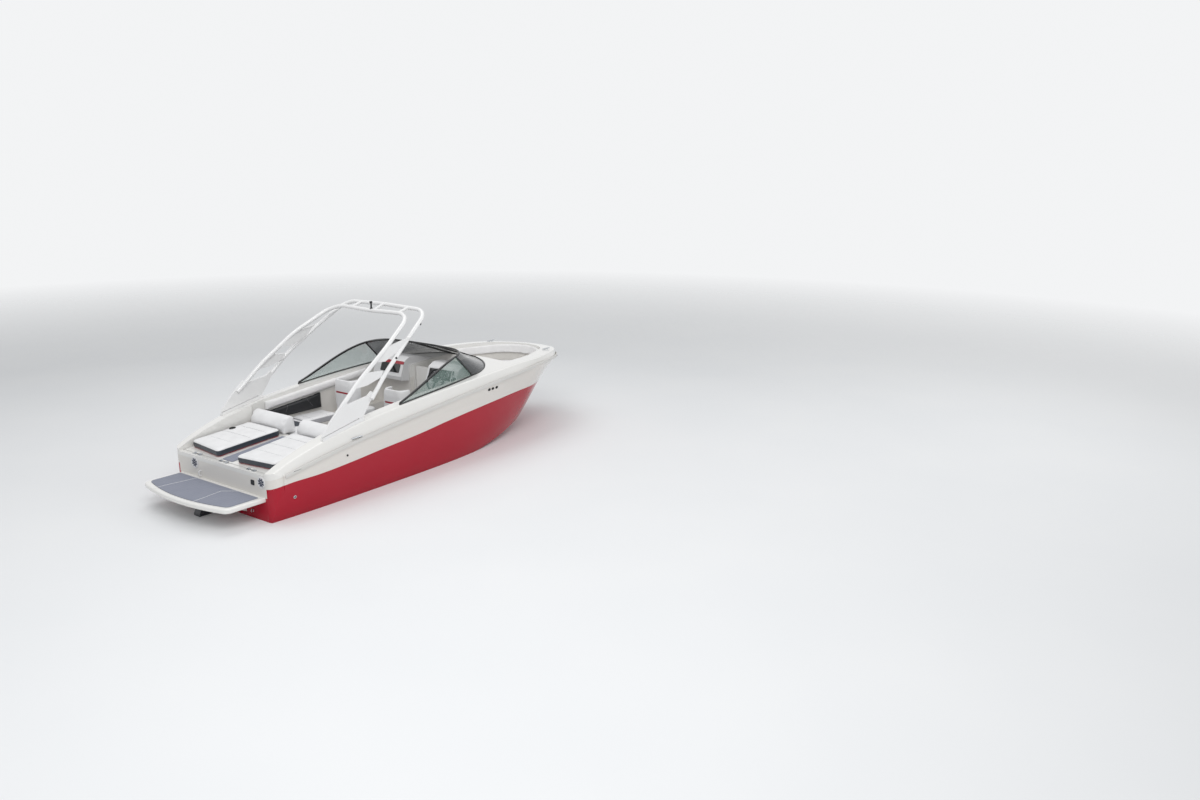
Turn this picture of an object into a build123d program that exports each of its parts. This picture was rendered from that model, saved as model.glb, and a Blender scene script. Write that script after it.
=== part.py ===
from build123d import *

import os
from collections import namedtuple
from math import cos, radians, sin, tan

# A 7.9 m bowrider speedboat with a sterndrive, in millimetres.
# +X points to the bow, +Y to port and +Z up. The origin lies on the waterline,
# on the centreline, at the face of the transom.

os.makedirs("parts", exist_ok=True)

# General clearances
seat_gap = 0.3          # between pieces that rest on or beside each other
run_gap = 6.0           # between pieces that move past each other
pin_gap = 0.15          # round a pin in its hole

# Hull sections, one row each. Heights are from the waterline, breadths from the centreline.
# keel_z: keel. chine_y, chine_z: outer edge of the chine. knuckle_drop: crease below the sheer.
# sheer_y, sheer_z: rub rail line. rise: gunwale height over the sheer.
# fullness: how round the topside is, under 1 for full and near 1 for flared.
Station = namedtuple(
    "Station", "x keel_z chine_y chine_z knuckle_drop sheer_y sheer_z rise fullness"
)
STATIONS = [
    Station(0, -500, 1050, -100, 70, 1190, 600, 85, 0.55),
    Station(600, -500, 1080, -97, 75, 1258, 745, 170, 0.55),
    Station(1500, -500, 1090, -90, 80, 1290, 893, 215, 0.55),
    Station(3000, -495, 1080, -60, 150, 1295, 1058, 205, 0.60),
    Station(4300, -400, 990, 20, 270, 1280, 1180, 165, 0.70),
    Station(5300, -115, 780, 170, 320, 1200, 1245, 125, 0.80),
    Station(6100, 235, 450, 400, 260, 1010, 1245, 110, 0.90),
    Station(6650, 600, 200, 690, 170, 745, 1212, 110, 0.95),
    Station(6950, 855, 85, 905, 100, 450, 1185, 105, 0.95),
    Station(7080, 1010, 30, 1045, 45, 180, 1160, 95, 0.95),
    Station(7115, 1080, 10, 1100, 20, 60, 1145, 85, 0.95),
]
chine_flat = 50         # width of the flat that throws the spray down
strake_share = 0.46     # where the lifting strake lies between keel and chine
strake_width = 0.04     # of the chine's half breadth
gunwale_inset = 45      # tumblehome of the deck's side
deck_inset = 14         # the deck's skirt stands this far inside the sheer
gunwale_round = 26
deck_crown = 42
joint_gap = 0.5         # between hull and deck mouldings
quarter_radius = 170    # rounded corners of the transom in plan
quarter_low_z = -60


def along_hull(x, column):
    """Value of one column of the station table at a place along the hull."""
    for a, b in zip(STATIONS, STATIONS[1:]):
        if x <= b.x:
            share = (x - a.x) / (b.x - a.x)
            return getattr(a, column) * (1 - share) + getattr(b, column) * share
    return getattr(STATIONS[-1], column)


def gunwale_z(x):
    return along_hull(x, "sheer_z") + along_hull(x, "rise")


def gunwale_y(x):
    return along_hull(x, "sheer_y") - gunwale_inset


def topside_y(station, share):
    return station.chine_y + (station.sheer_y - station.chine_y) * share ** station.fullness


# Openings in hull and deck
well_clearance_z = 1700     # every opening is cut up to here
floor_z = 300               # cockpit sole
seat_base_z = 640           # moulded seat bases
cockpit_aft = 1260
cockpit_fwd = 3900
cockpit_half = 1060
footwell_aft = 1960
lounge_fwd = 2600
footwell_half = 610
helm_well_half = 930
well_round = 70
passage_half = 270
passage_z = 400
bow_aft = 5010
bow_floor_z = 600
bow_footwell_fwd = 5950
bow_seat_base_z = 930
bow_top_z = 1330
# Half breadths of the bow well at its aft end, middle and forward shoulder, and its nose.
BowWell = namedtuple("BowWell", "aft_y mid_x mid_y shoulder_x shoulder_y nose_x")
BOW_LOW = BowWell(890, 5600, 815, 6200, 590, 6620)
BOW_HIGH = BowWell(965, 5600, 915, 6230, 690, 6760)
bay_aft = 210
bay_fwd = 1170
bay_half = 520
bay_floor_z = -230

# Engine hatch, sloping up towards the bow, with its recess in the deck
hatch_aft = 80
hatch_fwd = 1235
hatch_half = 1012
hatch_thick = 42
hatch_aft_z = 662           # upper face at its aft edge
hatch_slope = 5.2           # degrees

# Stern
platform_half = 990
platform_reach = 590        # at its corners
platform_bow = 140          # more at its middle
platform_top_z = 350
platform_thick = 70
platform_round = 24
platform_corner = 110
mat_thick = 9
mat_border = 62


def hatch_top_z(x):
    return hatch_aft_z + (x - hatch_aft) * tan(radians(hatch_slope))


def hull_side(s):
    """Keel, bottom with one strake, chine flat and topside of one side of a hull section."""
    inner_y = s.chine_y - chine_flat * s.chine_y / STATIONS[0].chine_y
    slope = (s.chine_z - s.keel_z) / inner_y
    strake_y = s.chine_y * strake_share
    step = s.chine_y * strake_width
    strake_z = s.keel_z + slope * strake_y
    height = s.sheer_z - s.chine_z
    knuckle_z = s.sheer_z - s.knuckle_drop
    knuckle_share = 1 - s.knuckle_drop / height
    middle_share = knuckle_share / 2
    Polyline(
        (0, s.keel_z),
        (strake_y, strake_z),
        (strake_y + step, strake_z),
        (strake_y + step, strake_z + slope * step),
        (inner_y, s.chine_z),
        (s.chine_y, s.chine_z),
    )
    ThreePointArc(
        (s.chine_y, s.chine_z),
        (topside_y(s, middle_share), s.chine_z + middle_share * height),
        (topside_y(s, knuckle_share), knuckle_z),
    )
    Polyline(
        (topside_y(s, knuckle_share), knuckle_z),
        (s.sheer_y, s.sheer_z),
        (0, s.sheer_z),
    )


def deck_side(s):
    """Skirt, tumblehome and rounded gunwale of one side of a deck section."""
    low_y = s.sheer_y - min(deck_inset, s.sheer_y / 4)
    edge_y = s.sheer_y - min(gunwale_inset, s.sheer_y / 2)
    round_y = min(gunwale_round, s.sheer_y / 4)
    low_z = s.sheer_z - 6      # trimmed to the top of the hull below
    top_z = s.sheer_z + s.rise
    Polyline((0, low_z), (low_y, low_z), (edge_y, top_z - gunwale_round))
    ThreePointArc(
        (edge_y, top_z - gunwale_round),
        (edge_y - 0.3 * round_y, top_z - 0.3 * gunwale_round),
        (edge_y - round_y, top_z),
    )


# Spaces cut out of the mouldings

with BuildPart() as cockpit_space:
    with BuildSketch(Plane.XY.offset(floor_z)):
        with BuildLine():
            Polyline(
                (footwell_aft, -footwell_half),
                (lounge_fwd, -footwell_half),
                (lounge_fwd, -helm_well_half),
                (cockpit_fwd, -helm_well_half),
                (cockpit_fwd, helm_well_half),
                (lounge_fwd, helm_well_half),
                (lounge_fwd, footwell_half),
                (footwell_aft, footwell_half),
                close=True,
            )
        make_face()
        fillet(vertices(), well_round)
    extrude(amount=seat_base_z - floor_z)
    with BuildSketch(Plane.XY.offset(seat_base_z)):
        with Locations(((cockpit_aft + cockpit_fwd) / 2, 0)):
            RectangleRounded(cockpit_fwd - cockpit_aft, 2 * cockpit_half, well_round)
    extrude(amount=well_clearance_z - seat_base_z)

with BuildPart() as passage_space:
    with BuildSketch(Plane.XY.offset(passage_z)):
        with Locations(((cockpit_fwd + bow_aft) / 2, 0)):
            Rectangle(bow_aft - cockpit_fwd + 60, 2 * passage_half)
    extrude(amount=well_clearance_z - passage_z)


def bow_well_outline(w):
    """Plan of the bow well: straight aft end, a curved side each and a round nose."""
    Line((bow_aft, -w.aft_y), (bow_aft, w.aft_y))
    ThreePointArc((bow_aft, w.aft_y), (w.mid_x, w.mid_y), (w.shoulder_x, w.shoulder_y))
    ThreePointArc((bow_aft, -w.aft_y), (w.mid_x, -w.mid_y), (w.shoulder_x, -w.shoulder_y))
    ThreePointArc((w.shoulder_x, w.shoulder_y), (w.nose_x, 0), (w.shoulder_x, -w.shoulder_y))


with BuildPart() as bow_space:
    for height, well in ((bow_seat_base_z, BOW_LOW), (well_clearance_z, BOW_HIGH)):
        with BuildSketch(Plane.XY.offset(height)):
            with BuildLine():
                bow_well_outline(well)
            make_face()
    loft()
    with BuildSketch(Plane.XY.offset(bow_floor_z)):
        with Locations(((bow_aft + bow_footwell_fwd) / 2, 0)):
            RectangleRounded(bow_footwell_fwd - bow_aft + 40, 2 * passage_half, well_round)
    extrude(amount=bow_seat_base_z - bow_floor_z + 1)

with BuildPart() as engine_space:
    with BuildSketch(Plane.XY.offset(bay_floor_z)):
        with Locations(((bay_aft + bay_fwd) / 2, 0)):
            RectangleRounded(bay_fwd - bay_aft, 2 * bay_half, well_round)
    extrude(amount=well_clearance_z - bay_floor_z)

with BuildPart() as hatch_space:
    with BuildSketch(Plane.XZ.offset(-hatch_half - run_gap)):
        with BuildLine():
            Polyline(
                (-20, hatch_top_z(hatch_aft) - 4),
                (hatch_aft - run_gap, hatch_top_z(hatch_aft) - 4),
                (hatch_aft - run_gap, hatch_top_z(hatch_aft - run_gap) - hatch_thick - joint_gap),
                (cockpit_aft + 20, hatch_top_z(cockpit_aft + 20) - hatch_thick - joint_gap),
                (cockpit_aft + 20, well_clearance_z),
                (-20, well_clearance_z),
                close=True,
            )
        make_face()
    extrude(amount=2 * (hatch_half + run_gap))

with BuildPart() as quarter_space:
    corner_y = STATIONS[0].sheer_y
    start_y = corner_y - quarter_radius
    bulge = quarter_radius * sin(radians(45))
    for side in (1, -1):
        with BuildSketch(Plane.XY.offset(quarter_low_z)):
            with BuildLine():
                Polyline(
                    (0, side * start_y),
                    (-20, side * start_y),
                    (-20, side * (corner_y + 200)),
                    (quarter_radius, side * (corner_y + 200)),
                    (quarter_radius, side * corner_y),
                )
                ThreePointArc(
                    (quarter_radius, side * corner_y),
                    (quarter_radius - bulge, side * (start_y + bulge)),
                    (0, side * start_y),
                )
            make_face()
        extrude(amount=well_clearance_z - quarter_low_z)

# Step in the foredeck for the dash pods

dash_floor_z = 1250
dash_inner_y = passage_half + 22
dash_plan = [
    (3680, dash_inner_y),
    (4460, dash_inner_y),
    (4460, 760),
    (4250, 900),
    (4000, 985),
    (3680, 985),
]

with BuildPart() as dash_space:
    with BuildSketch(Plane.XY.offset(dash_floor_z)):
        with BuildLine():
            Polyline(*dash_plan, close=True)
        make_face()
        mirror(about=Plane.XZ)
        offset(amount=seat_gap, kind=Kind.INTERSECTION)
    extrude(amount=well_clearance_z - dash_floor_z)

# Hull: bottom and topsides in one moulding, closed under the soles

with BuildPart() as hull_block:
    for s in STATIONS:
        with BuildSketch(Plane.YZ.offset(s.x)):
            with BuildLine():
                hull_side(s)
                mirror(about=Plane.YZ)
            make_face()
    loft()

with BuildPart() as hull:
    add(hull_block.part)
    add(cockpit_space.part, mode=Mode.SUBTRACT)
    add(passage_space.part, mode=Mode.SUBTRACT)
    add(bow_space.part, mode=Mode.SUBTRACT)
    add(engine_space.part, mode=Mode.SUBTRACT)
    add(hatch_space.part, mode=Mode.SUBTRACT)
    add(quarter_space.part, mode=Mode.SUBTRACT)
hull.part.label = "hull"
export_step(hull.part, "parts/hull.step")

# Deck: gunwales, foredeck and the tops of the consoles

with BuildPart() as deck:
    for s in STATIONS:
        with BuildSketch(Plane.YZ.offset(s.x)):
            with BuildLine():
                deck_side(s)
                mirror(about=Plane.YZ)
                top_y = s.sheer_y - min(gunwale_inset, s.sheer_y / 2) - min(gunwale_round, s.sheer_y / 4)
                top_z = s.sheer_z + s.rise
                crown_z = top_z + deck_crown * top_y / 1200
                ThreePointArc((top_y, top_z), (0, crown_z), (-top_y, top_z))
            make_face()
    loft()
    add(hull_block.part, mode=Mode.SUBTRACT)
    add(hull_block.part.moved(Location((0, 0, joint_gap))), mode=Mode.SUBTRACT)
    add(cockpit_space.part, mode=Mode.SUBTRACT)
    add(passage_space.part, mode=Mode.SUBTRACT)
    add(bow_space.part, mode=Mode.SUBTRACT)
    add(engine_space.part, mode=Mode.SUBTRACT)
    add(hatch_space.part, mode=Mode.SUBTRACT)
    add(quarter_space.part, mode=Mode.SUBTRACT)
    add(dash_space.part, mode=Mode.SUBTRACT)
    add(solids().sort_by(SortBy.VOLUME)[-1], mode=Mode.REPLACE)
deck.part.label = "deck"
export_step(deck.part, "parts/deck.step")


def band_along_sheer(out, low, high, nose):
    """Solid slice of the hull round its sheer line, out by a margin."""
    with BuildPart() as band:
        for s in STATIONS:
            reach = nose if s is STATIONS[-1] else 0
            with BuildSketch(Plane.YZ.offset(s.x + reach)):
                with Locations((0, s.sheer_z + (low + high) / 2)):
                    Rectangle(2 * (s.sheer_y + out), high - low)
        loft()
    return band.part


# Rub rail, a rubber strake over the joint of hull and deck

rail_out = 20
rail_half_height = 22
rail_aft = quarter_radius + 10

with BuildPart() as rub_rail:
    add(band_along_sheer(rail_out, -rail_half_height, rail_half_height, rail_out))
    add(band_along_sheer(seat_gap, -rail_half_height - 2, rail_half_height + 2, seat_gap), mode=Mode.SUBTRACT)
    add(hull_block.part, mode=Mode.SUBTRACT)
    add(deck.part, mode=Mode.SUBTRACT)
    with Locations((rail_aft - 400, 0, 600)):
        Box(800, 4000, 800, mode=Mode.SUBTRACT)
rub_rail.part.label = "rub_rail"
export_step(rub_rail.part, "parts/rub_rail.step")

# Swim platform and its mat


def platform_outline(border):
    """Plan of the platform: bowed aft edge between two rounded corners."""
    side_y = platform_half - border
    aft_x = -platform_reach + border
    Polyline((aft_x, side_y), (-border - 6, side_y), (-border - 6, -side_y), (aft_x, -side_y))
    ThreePointArc((aft_x, side_y), (aft_x - platform_bow, 0), (aft_x, -side_y))


with BuildPart() as swim_platform:
    with BuildSketch(Plane.XY.offset(platform_top_z - platform_thick)):
        with BuildLine():
            platform_outline(-6 + seat_gap)
        make_face()
        fillet(vertices().group_by(Axis.X)[0], platform_corner)
    extrude(amount=platform_thick)
    fillet(faces().sort_by(Axis.Z)[-1].edges().filter_by_position(Axis.X, -9999, -6), platform_round)
    fillet(faces().sort_by(Axis.Z)[0].edges().filter_by_position(Axis.X, -9999, -6), platform_round)
    knee_y = 520
    with BuildSketch(Plane.XZ.offset(-knee_y - 20)):
        with BuildLine():
            Polyline(
                (-seat_gap, platform_top_z - platform_thick + 1),
                (-platform_reach + 120, platform_top_z - platform_thick + 1),
                (-seat_gap, 60),
                close=True,
            )
        make_face()
    extrude(amount=40)
    mirror(about=Plane.XZ)
swim_platform.part.label = "swim_platform"
export_step(swim_platform.part, "parts/swim_platform.step")

with BuildPart() as platform_mat:
    with BuildSketch(Plane.XY.offset(platform_top_z + seat_gap)):
        with BuildLine():
            platform_outline(mat_border)
        make_face()
        fillet(vertices().group_by(Axis.X)[0], platform_corner - mat_border / 2)
    extrude(amount=mat_thick)
platform_mat.part.label = "platform_mat"
export_step(platform_mat.part, "parts/platform_mat.step")

# Engine hatch with the centre walkway; it carries the sunpads and the aft backrests

hatch_plane = Plane(
    origin=(hatch_aft, 0, hatch_aft_z),
    x_dir=(cos(radians(hatch_slope)), 0, sin(radians(hatch_slope))),
    z_dir=(-sin(radians(hatch_slope)), 0, cos(radians(hatch_slope))),
)
hatch_length = (hatch_fwd - hatch_aft) / cos(radians(hatch_slope))
pad_thick = 118
pad_outer_y = 1000
pad_aft_inner = 22          # aft edges, measured along the hatch
pad_aft_outer = 105
pad_fwd = 1095
pad_inner_aft_y = 205
pad_inner_fwd_y = 150
pad_outer_fwd_y = 940
pad_round = 30
pad_corner = 60
tread_half = 120
tread_thick = 8
hatch_hinge_x = 76
hatch_hinge_z = 672
hinge_knuckle = 8
hinge_pin = 3.5
hinge_width = 60
HATCH_HINGES = [-640, 0, 640]   # places across the boat

with BuildPart() as engine_hatch:
    with BuildSketch(hatch_plane.offset(-hatch_thick)):
        with Locations((hatch_length / 2, 0)):
            Rectangle(hatch_length, 2 * hatch_half)
    extrude(amount=hatch_thick)
    fillet(edges().filter_by(Axis.Z, tolerance=10), 24)
    for y in HATCH_HINGES:
        with BuildSketch(Plane.XZ.offset(-y - hinge_width / 2)):
            with Locations((hatch_hinge_x, hatch_hinge_z)):
                Circle(hinge_knuckle)
            with Locations((hatch_hinge_x + 14, hatch_hinge_z - hinge_knuckle + 1.5)):
                Rectangle(28, 5)
            with Locations((hatch_hinge_x, hatch_hinge_z)):
                Circle(hinge_pin + pin_gap, mode=Mode.SUBTRACT)
        extrude(amount=hinge_width)
engine_hatch.part.label = "engine_hatch"
export_step(engine_hatch.part, "parts/engine_hatch.step")

with BuildPart() as hatch_hinges:
    for y in HATCH_HINGES:
        for side in (1, -1):
            middle = y + side * (hinge_width + 1)
            with BuildSketch(Plane.XZ.offset(-middle - hinge_width / 2)):
                with Locations((hatch_hinge_x, hatch_hinge_z)):
                    Circle(hinge_knuckle)
                with Locations((hatch_hinge_x - 22, hatch_aft_z - 4 + seat_gap + 5)):
                    Rectangle(40, 10)
            extrude(amount=hinge_width)
        with BuildSketch(Plane.XZ.offset(-y - hinge_width)):
            with Locations((hatch_hinge_x, hatch_hinge_z)):
                Circle(hinge_pin)
        extrude(amount=2 * hinge_width)
hatch_hinges.part.label = "hatch_hinges"
export_step(hatch_hinges.part, "parts/hatch_hinges.step")

with BuildPart() as walkway_tread:
    with BuildSketch(hatch_plane.offset(seat_gap)):
        with Locations((hatch_length / 2 - 30, 0)):
            RectangleRounded(hatch_length - 130, 2 * tread_half, 20)
    extrude(amount=tread_thick)
walkway_tread.part.label = "walkway_tread"
export_step(walkway_tread.part, "parts/walkway_tread.step")


def sunpad(side):
    """One sunpad: a thick pad whose aft edge slants forward to the quarter."""
    with BuildPart() as pad:
        with BuildSketch(hatch_plane.offset(seat_gap)):
            with BuildLine():
                Polyline(
                    (pad_aft_inner, side * pad_inner_aft_y),
                    (pad_aft_outer, side * pad_outer_y),
                    (pad_fwd, side * pad_outer_fwd_y),
                    (pad_fwd, side * pad_inner_fwd_y),
                    close=True,
                )
            make_face()
            fillet(vertices(), pad_corner)
        extrude(amount=pad_thick)
        fillet(faces().sort_by(Axis.Z)[-1].edges(), pad_round)
    return pad.part


for side, name in ((1, "port"), (-1, "starboard")):
    pad = sunpad(side)
    pad.label = f"sunpad_{name}"
    export_step(pad, f"parts/sunpad_{name}.step")

# Aft backrests, two wedges of foam between the sunpads and the bench

backrest_inner_y = 140
backrest_outer_y = 985
bench_top_z = 750
seat_thick = bench_top_z - seat_base_z - seat_gap
pad_end_x = hatch_aft + pad_fwd * cos(radians(hatch_slope))
backrest_profile = [
    (pad_end_x + 8, hatch_top_z(pad_end_x + 8) + 1),
    (pad_end_x + 8, 905),
    (pad_end_x + 70, 1005),
    (pad_end_x + 150, 1050),
    (pad_end_x + 235, 1010),
    (pad_end_x + 270, bench_top_z + 12),
    (hatch_fwd + 14, bench_top_z + 12),
    (hatch_fwd + 4, hatch_top_z(hatch_fwd + 4) + 1),
]

with BuildPart() as aft_backrests:
    with BuildSketch(Plane.XZ.offset(-backrest_outer_y)):
        with BuildLine():
            Polyline(*backrest_profile, close=True)
        make_face()
        fillet(vertices().sort_by(Axis.Y)[-4:], 40)
    extrude(amount=backrest_outer_y - backrest_inner_y)
    mirror(about=Plane.XZ)
aft_backrests.part.label = "aft_backrests"
export_step(aft_backrests.part, "parts/aft_backrests.step")

# Cockpit seating

bench_aft_x = cockpit_aft + 45
cushion_round = 22

with BuildPart() as bench_cushion:
    with BuildSketch(Plane.XY.offset(seat_base_z + seat_gap)):
        with Locations(((bench_aft_x + footwell_aft) / 2, 0)):
            RectangleRounded(footwell_aft - bench_aft_x, 2 * (cockpit_half - 14), 50)
    extrude(amount=seat_thick)
    fillet(faces().sort_by(Axis.Z)[-1].edges(), cushion_round)
bench_cushion.part.label = "bench_cushion"
export_step(bench_cushion.part, "parts/bench_cushion.step")

with BuildPart() as lounge_cushions:
    lounge_length = lounge_fwd - footwell_aft - 8
    lounge_width = cockpit_half - footwell_half - 14
    with BuildSketch(Plane.XY.offset(seat_base_z + seat_gap)):
        with Locations((footwell_aft + 8 + lounge_length / 2, footwell_half + lounge_width / 2)):
            RectangleRounded(lounge_length, lounge_width, 50)
    extrude(amount=seat_thick)
    fillet(faces().sort_by(Axis.Z)[-1].edges(), cushion_round)
    mirror(about=Plane.XZ)
lounge_cushions.part.label = "lounge_cushions"
export_step(lounge_cushions.part, "parts/lounge_cushions.step")

# Side padding under the gunwales: a dark band below, a pale bolster above

bolster_aft = cockpit_aft + 240
bolster_fwd = cockpit_fwd - 320
bolster_thick = 70
band_low_z = bench_top_z + 12
band_height = 175
band_rise = 0.10            # the band climbs with the gunwale


def side_pad_profile(aft, fwd, low, high, low_rise, high_rise):
    Polyline(
        (aft, low),
        (fwd, low + (fwd - aft) * low_rise),
        (fwd, high + (fwd - aft) * high_rise),
        (aft, high),
        close=True,
    )


with BuildPart() as side_backrests:
    with BuildSketch(Plane.XZ.offset(-cockpit_half + seat_gap)):
        with BuildLine():
            side_pad_profile(bolster_aft, lounge_fwd, band_low_z, band_low_z + band_height, 0.0, band_rise)
        make_face()
    extrude(amount=bolster_thick - 18)
    fillet(faces().sort_by(Axis.Y)[0].edges(), 14)
    mirror(about=Plane.XZ)
side_backrests.part.label = "side_backrests"
export_step(side_backrests.part, "parts/side_backrests.step")

with BuildPart() as coaming_bolsters:
    with BuildSketch(Plane.XZ.offset(-cockpit_half + seat_gap)):
        with BuildLine():
            top = gunwale_z(bolster_aft) - 6
            rise = (gunwale_z(bolster_fwd) - 6 - top) / (bolster_fwd - bolster_aft)
            low = band_low_z + band_height + 6
            side_pad_profile(bolster_aft, bolster_fwd, low, top, band_rise, rise)
        make_face()
        fillet(vertices(), 12)
    extrude(amount=bolster_thick)
    fillet(faces().sort_by(Axis.Y)[0].edges(), 22)
    mirror(about=Plane.XZ)
coaming_bolsters.part.label = "coaming_bolsters"
export_step(coaming_bolsters.part, "parts/coaming_bolsters.step")

with BuildPart() as cockpit_mat:
    with BuildSketch(Plane.XY.offset(floor_z + seat_gap)):
        with BuildLine():
            mat_edge = 14
            Polyline(
                (footwell_aft + mat_edge, -footwell_half + mat_edge),
                (lounge_fwd + mat_edge, -footwell_half + mat_edge),
                (lounge_fwd + mat_edge, -helm_well_half + mat_edge),
                (cockpit_fwd - mat_edge, -helm_well_half + mat_edge),
                (cockpit_fwd - mat_edge, helm_well_half - mat_edge),
                (lounge_fwd + mat_edge, helm_well_half - mat_edge),
                (lounge_fwd + mat_edge, footwell_half - mat_edge),
                (footwell_aft + mat_edge, footwell_half - mat_edge),
                close=True,
            )
        make_face()
        fillet(vertices(), well_round)
    extrude(amount=8)
cockpit_mat.part.label = "cockpit_mat"
export_step(cockpit_mat.part, "parts/cockpit_mat.step")

# Bucket seats on pedestals

seat_x = 2960
seat_y = 590
seat_half = 262
seat_half_depth = 255
seat_pan_z = 640
seat_pan_thick = 130
seat_back_top_z = 1290
seat_back_thick = 110
pedestal_radius = 58
pedestal_top_z = seat_pan_z - run_gap
seat_corner = 110


def bucket_seat(y):
    """Seat pan with a wrap-round back that leans aft."""
    with BuildPart() as seat:
        with BuildSketch(Plane.XY.offset(seat_pan_z)):
            with Locations((seat_x, y)):
                RectangleRounded(2 * seat_half_depth, 2 * seat_half, seat_corner)
        extrude(amount=seat_pan_thick)
        fillet(faces().sort_by(Axis.Z)[-1].edges(), 30)
        for height, shift, half in (
            (seat_pan_z + 40, 0, seat_half),
            (seat_pan_z + 300, -14, seat_half),
            (seat_back_top_z, -34, seat_half - 45),
        ):
            with BuildSketch(Plane.XY.offset(height)):
                with Locations((seat_x + shift, y)):
                    RectangleRounded(2 * seat_half_depth, 2 * half, seat_corner)
                    RectangleRounded(
                        2 * (seat_half_depth - seat_back_thick * 0.55),
                        2 * (half - seat_back_thick * 0.6),
                        seat_corner * 0.6,
                        mode=Mode.SUBTRACT,
                    )
                with Locations((seat_x + 150 + 40, y)):
                    Rectangle(2 * seat_half_depth - 20, 2 * half + 60, mode=Mode.SUBTRACT)
        loft(mode=Mode.ADD)
    return seat.part


for y, name in ((-seat_y, "helm"), (seat_y, "companion")):
    seat = bucket_seat(y)
    seat.label = f"{name}_seat"
    export_step(seat, f"parts/{name}_seat.step")

with BuildPart() as seat_pedestals:
    for y in (-seat_y, seat_y):
        foot_z = floor_z + 8 + 2 * seat_gap
        for radius, low, high in (
            (150, foot_z, foot_z + 12),
            (pedestal_radius, foot_z, seat_pan_z - 20),
            (130, seat_pan_z - 20, seat_pan_z - seat_gap),
        ):
            with BuildSketch(Plane.XY.offset(low)):
                with Locations((seat_x, y)):
                    Circle(radius)
            extrude(amount=high - low)
seat_pedestals.part.label = "seat_pedestals"
export_step(seat_pedestals.part, "parts/seat_pedestals.step")

# Consoles: dash pods on a step in the foredeck, one each side of the passage

dash_profile = [
    (cockpit_fwd - 6, 1090),
    (3715, 1120),
    (3700, 1185),
    (3800, 1440),
    (3920, 1500),
    (4120, 1490),
    (4462, 1400),
    (4462, dash_floor_z + seat_gap),
    (cockpit_fwd - 6, dash_floor_z + seat_gap),
]
column_radius = 52
wheel_tilt = 25             # degrees, of the steering column above level
wheel_radius = 178
rim_radius = 15
wheel_center = (3652, -seat_y, 1262)
column_length = 46
wheel_plane = Plane(
    origin=wheel_center,
    x_dir=(0, 1, 0),
    z_dir=(-cos(radians(wheel_tilt)), 0, sin(radians(wheel_tilt))),
)

def console(side):
    """Dash pod: its side profile, cut to its plan."""
    with BuildPart() as pod:
        with BuildSketch(Plane.XZ.offset(-1000)):
            with BuildLine():
                Polyline(*dash_profile, close=True)
            make_face()
            fillet(vertices().sort_by(Axis.Y)[-3:], 60)
        extrude(amount=1000 - dash_inner_y)
        with BuildSketch(Plane.XY.offset(1000)):
            with BuildLine():
                Polyline(*dash_plan, close=True)
            make_face()
            fillet(vertices().sort_by(Axis.Y)[-4:], 40)
        extrude(amount=600, mode=Mode.INTERSECT)
        if side < 0:
            mirror(about=Plane.XZ, mode=Mode.REPLACE)
            with BuildSketch(wheel_plane.offset(-34)):
                Circle(column_radius)
            extrude(amount=-column_length, taper=-18)
    return pod.part


for side, name in ((1, "companion_console"), (-1, "helm_console")):
    pod = console(side)
    pod.label = name
    export_step(pod, f"parts/{name}.step")

with BuildPart() as steering_wheel:
    with BuildSketch(Plane(origin=wheel_plane.origin, x_dir=wheel_plane.x_dir, z_dir=wheel_plane.y_dir)):
        with Locations((wheel_radius, 0)):
            Circle(rim_radius)
    revolve(axis=Axis(wheel_plane.origin, wheel_plane.z_dir))
    with BuildSketch(wheel_plane.offset(-34 + seat_gap)):
        Circle(40)
    extrude(amount=34 + 12)
    for angle in (-25, 90, 205):
        with BuildSketch(wheel_plane.offset(-8)):
            with Locations(Location((0, 0), angle)):
                with Locations((wheel_radius / 2, 0)):
                    Rectangle(wheel_radius, 34)
        extrude(amount=14)
steering_wheel.part.label = "steering_wheel"
export_step(steering_wheel.part, "parts/steering_wheel.step")

# Walk-through door between the consoles, with its jambs and hinge knuckles

door_x = 4030
door_thick = 30
jamb_thick = 8
jamb_face_y = passage_half - seat_gap - jamb_thick
door_low_z = passage_z + run_gap
door_top_z = 1335
knuckle_radius = 7
hinge_x = door_x + door_thick / 2 + knuckle_radius + 1.5
hinge_y = jamb_face_y - knuckle_radius - 1
KNUCKLE_ROWS = [560, 1180]  # heights of the two hinges
knuckle_height = 40

with BuildPart() as walkway_door:
    with BuildSketch(Plane.XY.offset(door_low_z)):
        with Locations((door_x, -2)):
            Rectangle(door_thick, 2 * jamb_face_y - 2 * run_gap - 10)
    extrude(amount=door_top_z - door_low_z)
    fillet(edges().filter_by(Axis.Z), 6)
    for row in KNUCKLE_ROWS:
        with BuildSketch(Plane.XY.offset(row)):
            with Locations((hinge_x, hinge_y)):
                Circle(knuckle_radius)
            with Locations((hinge_x - knuckle_radius, hinge_y - 8)):
                Rectangle(12, 10)
            with Locations((hinge_x, hinge_y)):
                Circle(hinge_pin + pin_gap, mode=Mode.SUBTRACT)
        extrude(amount=knuckle_height)
walkway_door.part.label = "walkway_door"
export_step(walkway_door.part, "parts/walkway_door.step")

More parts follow.
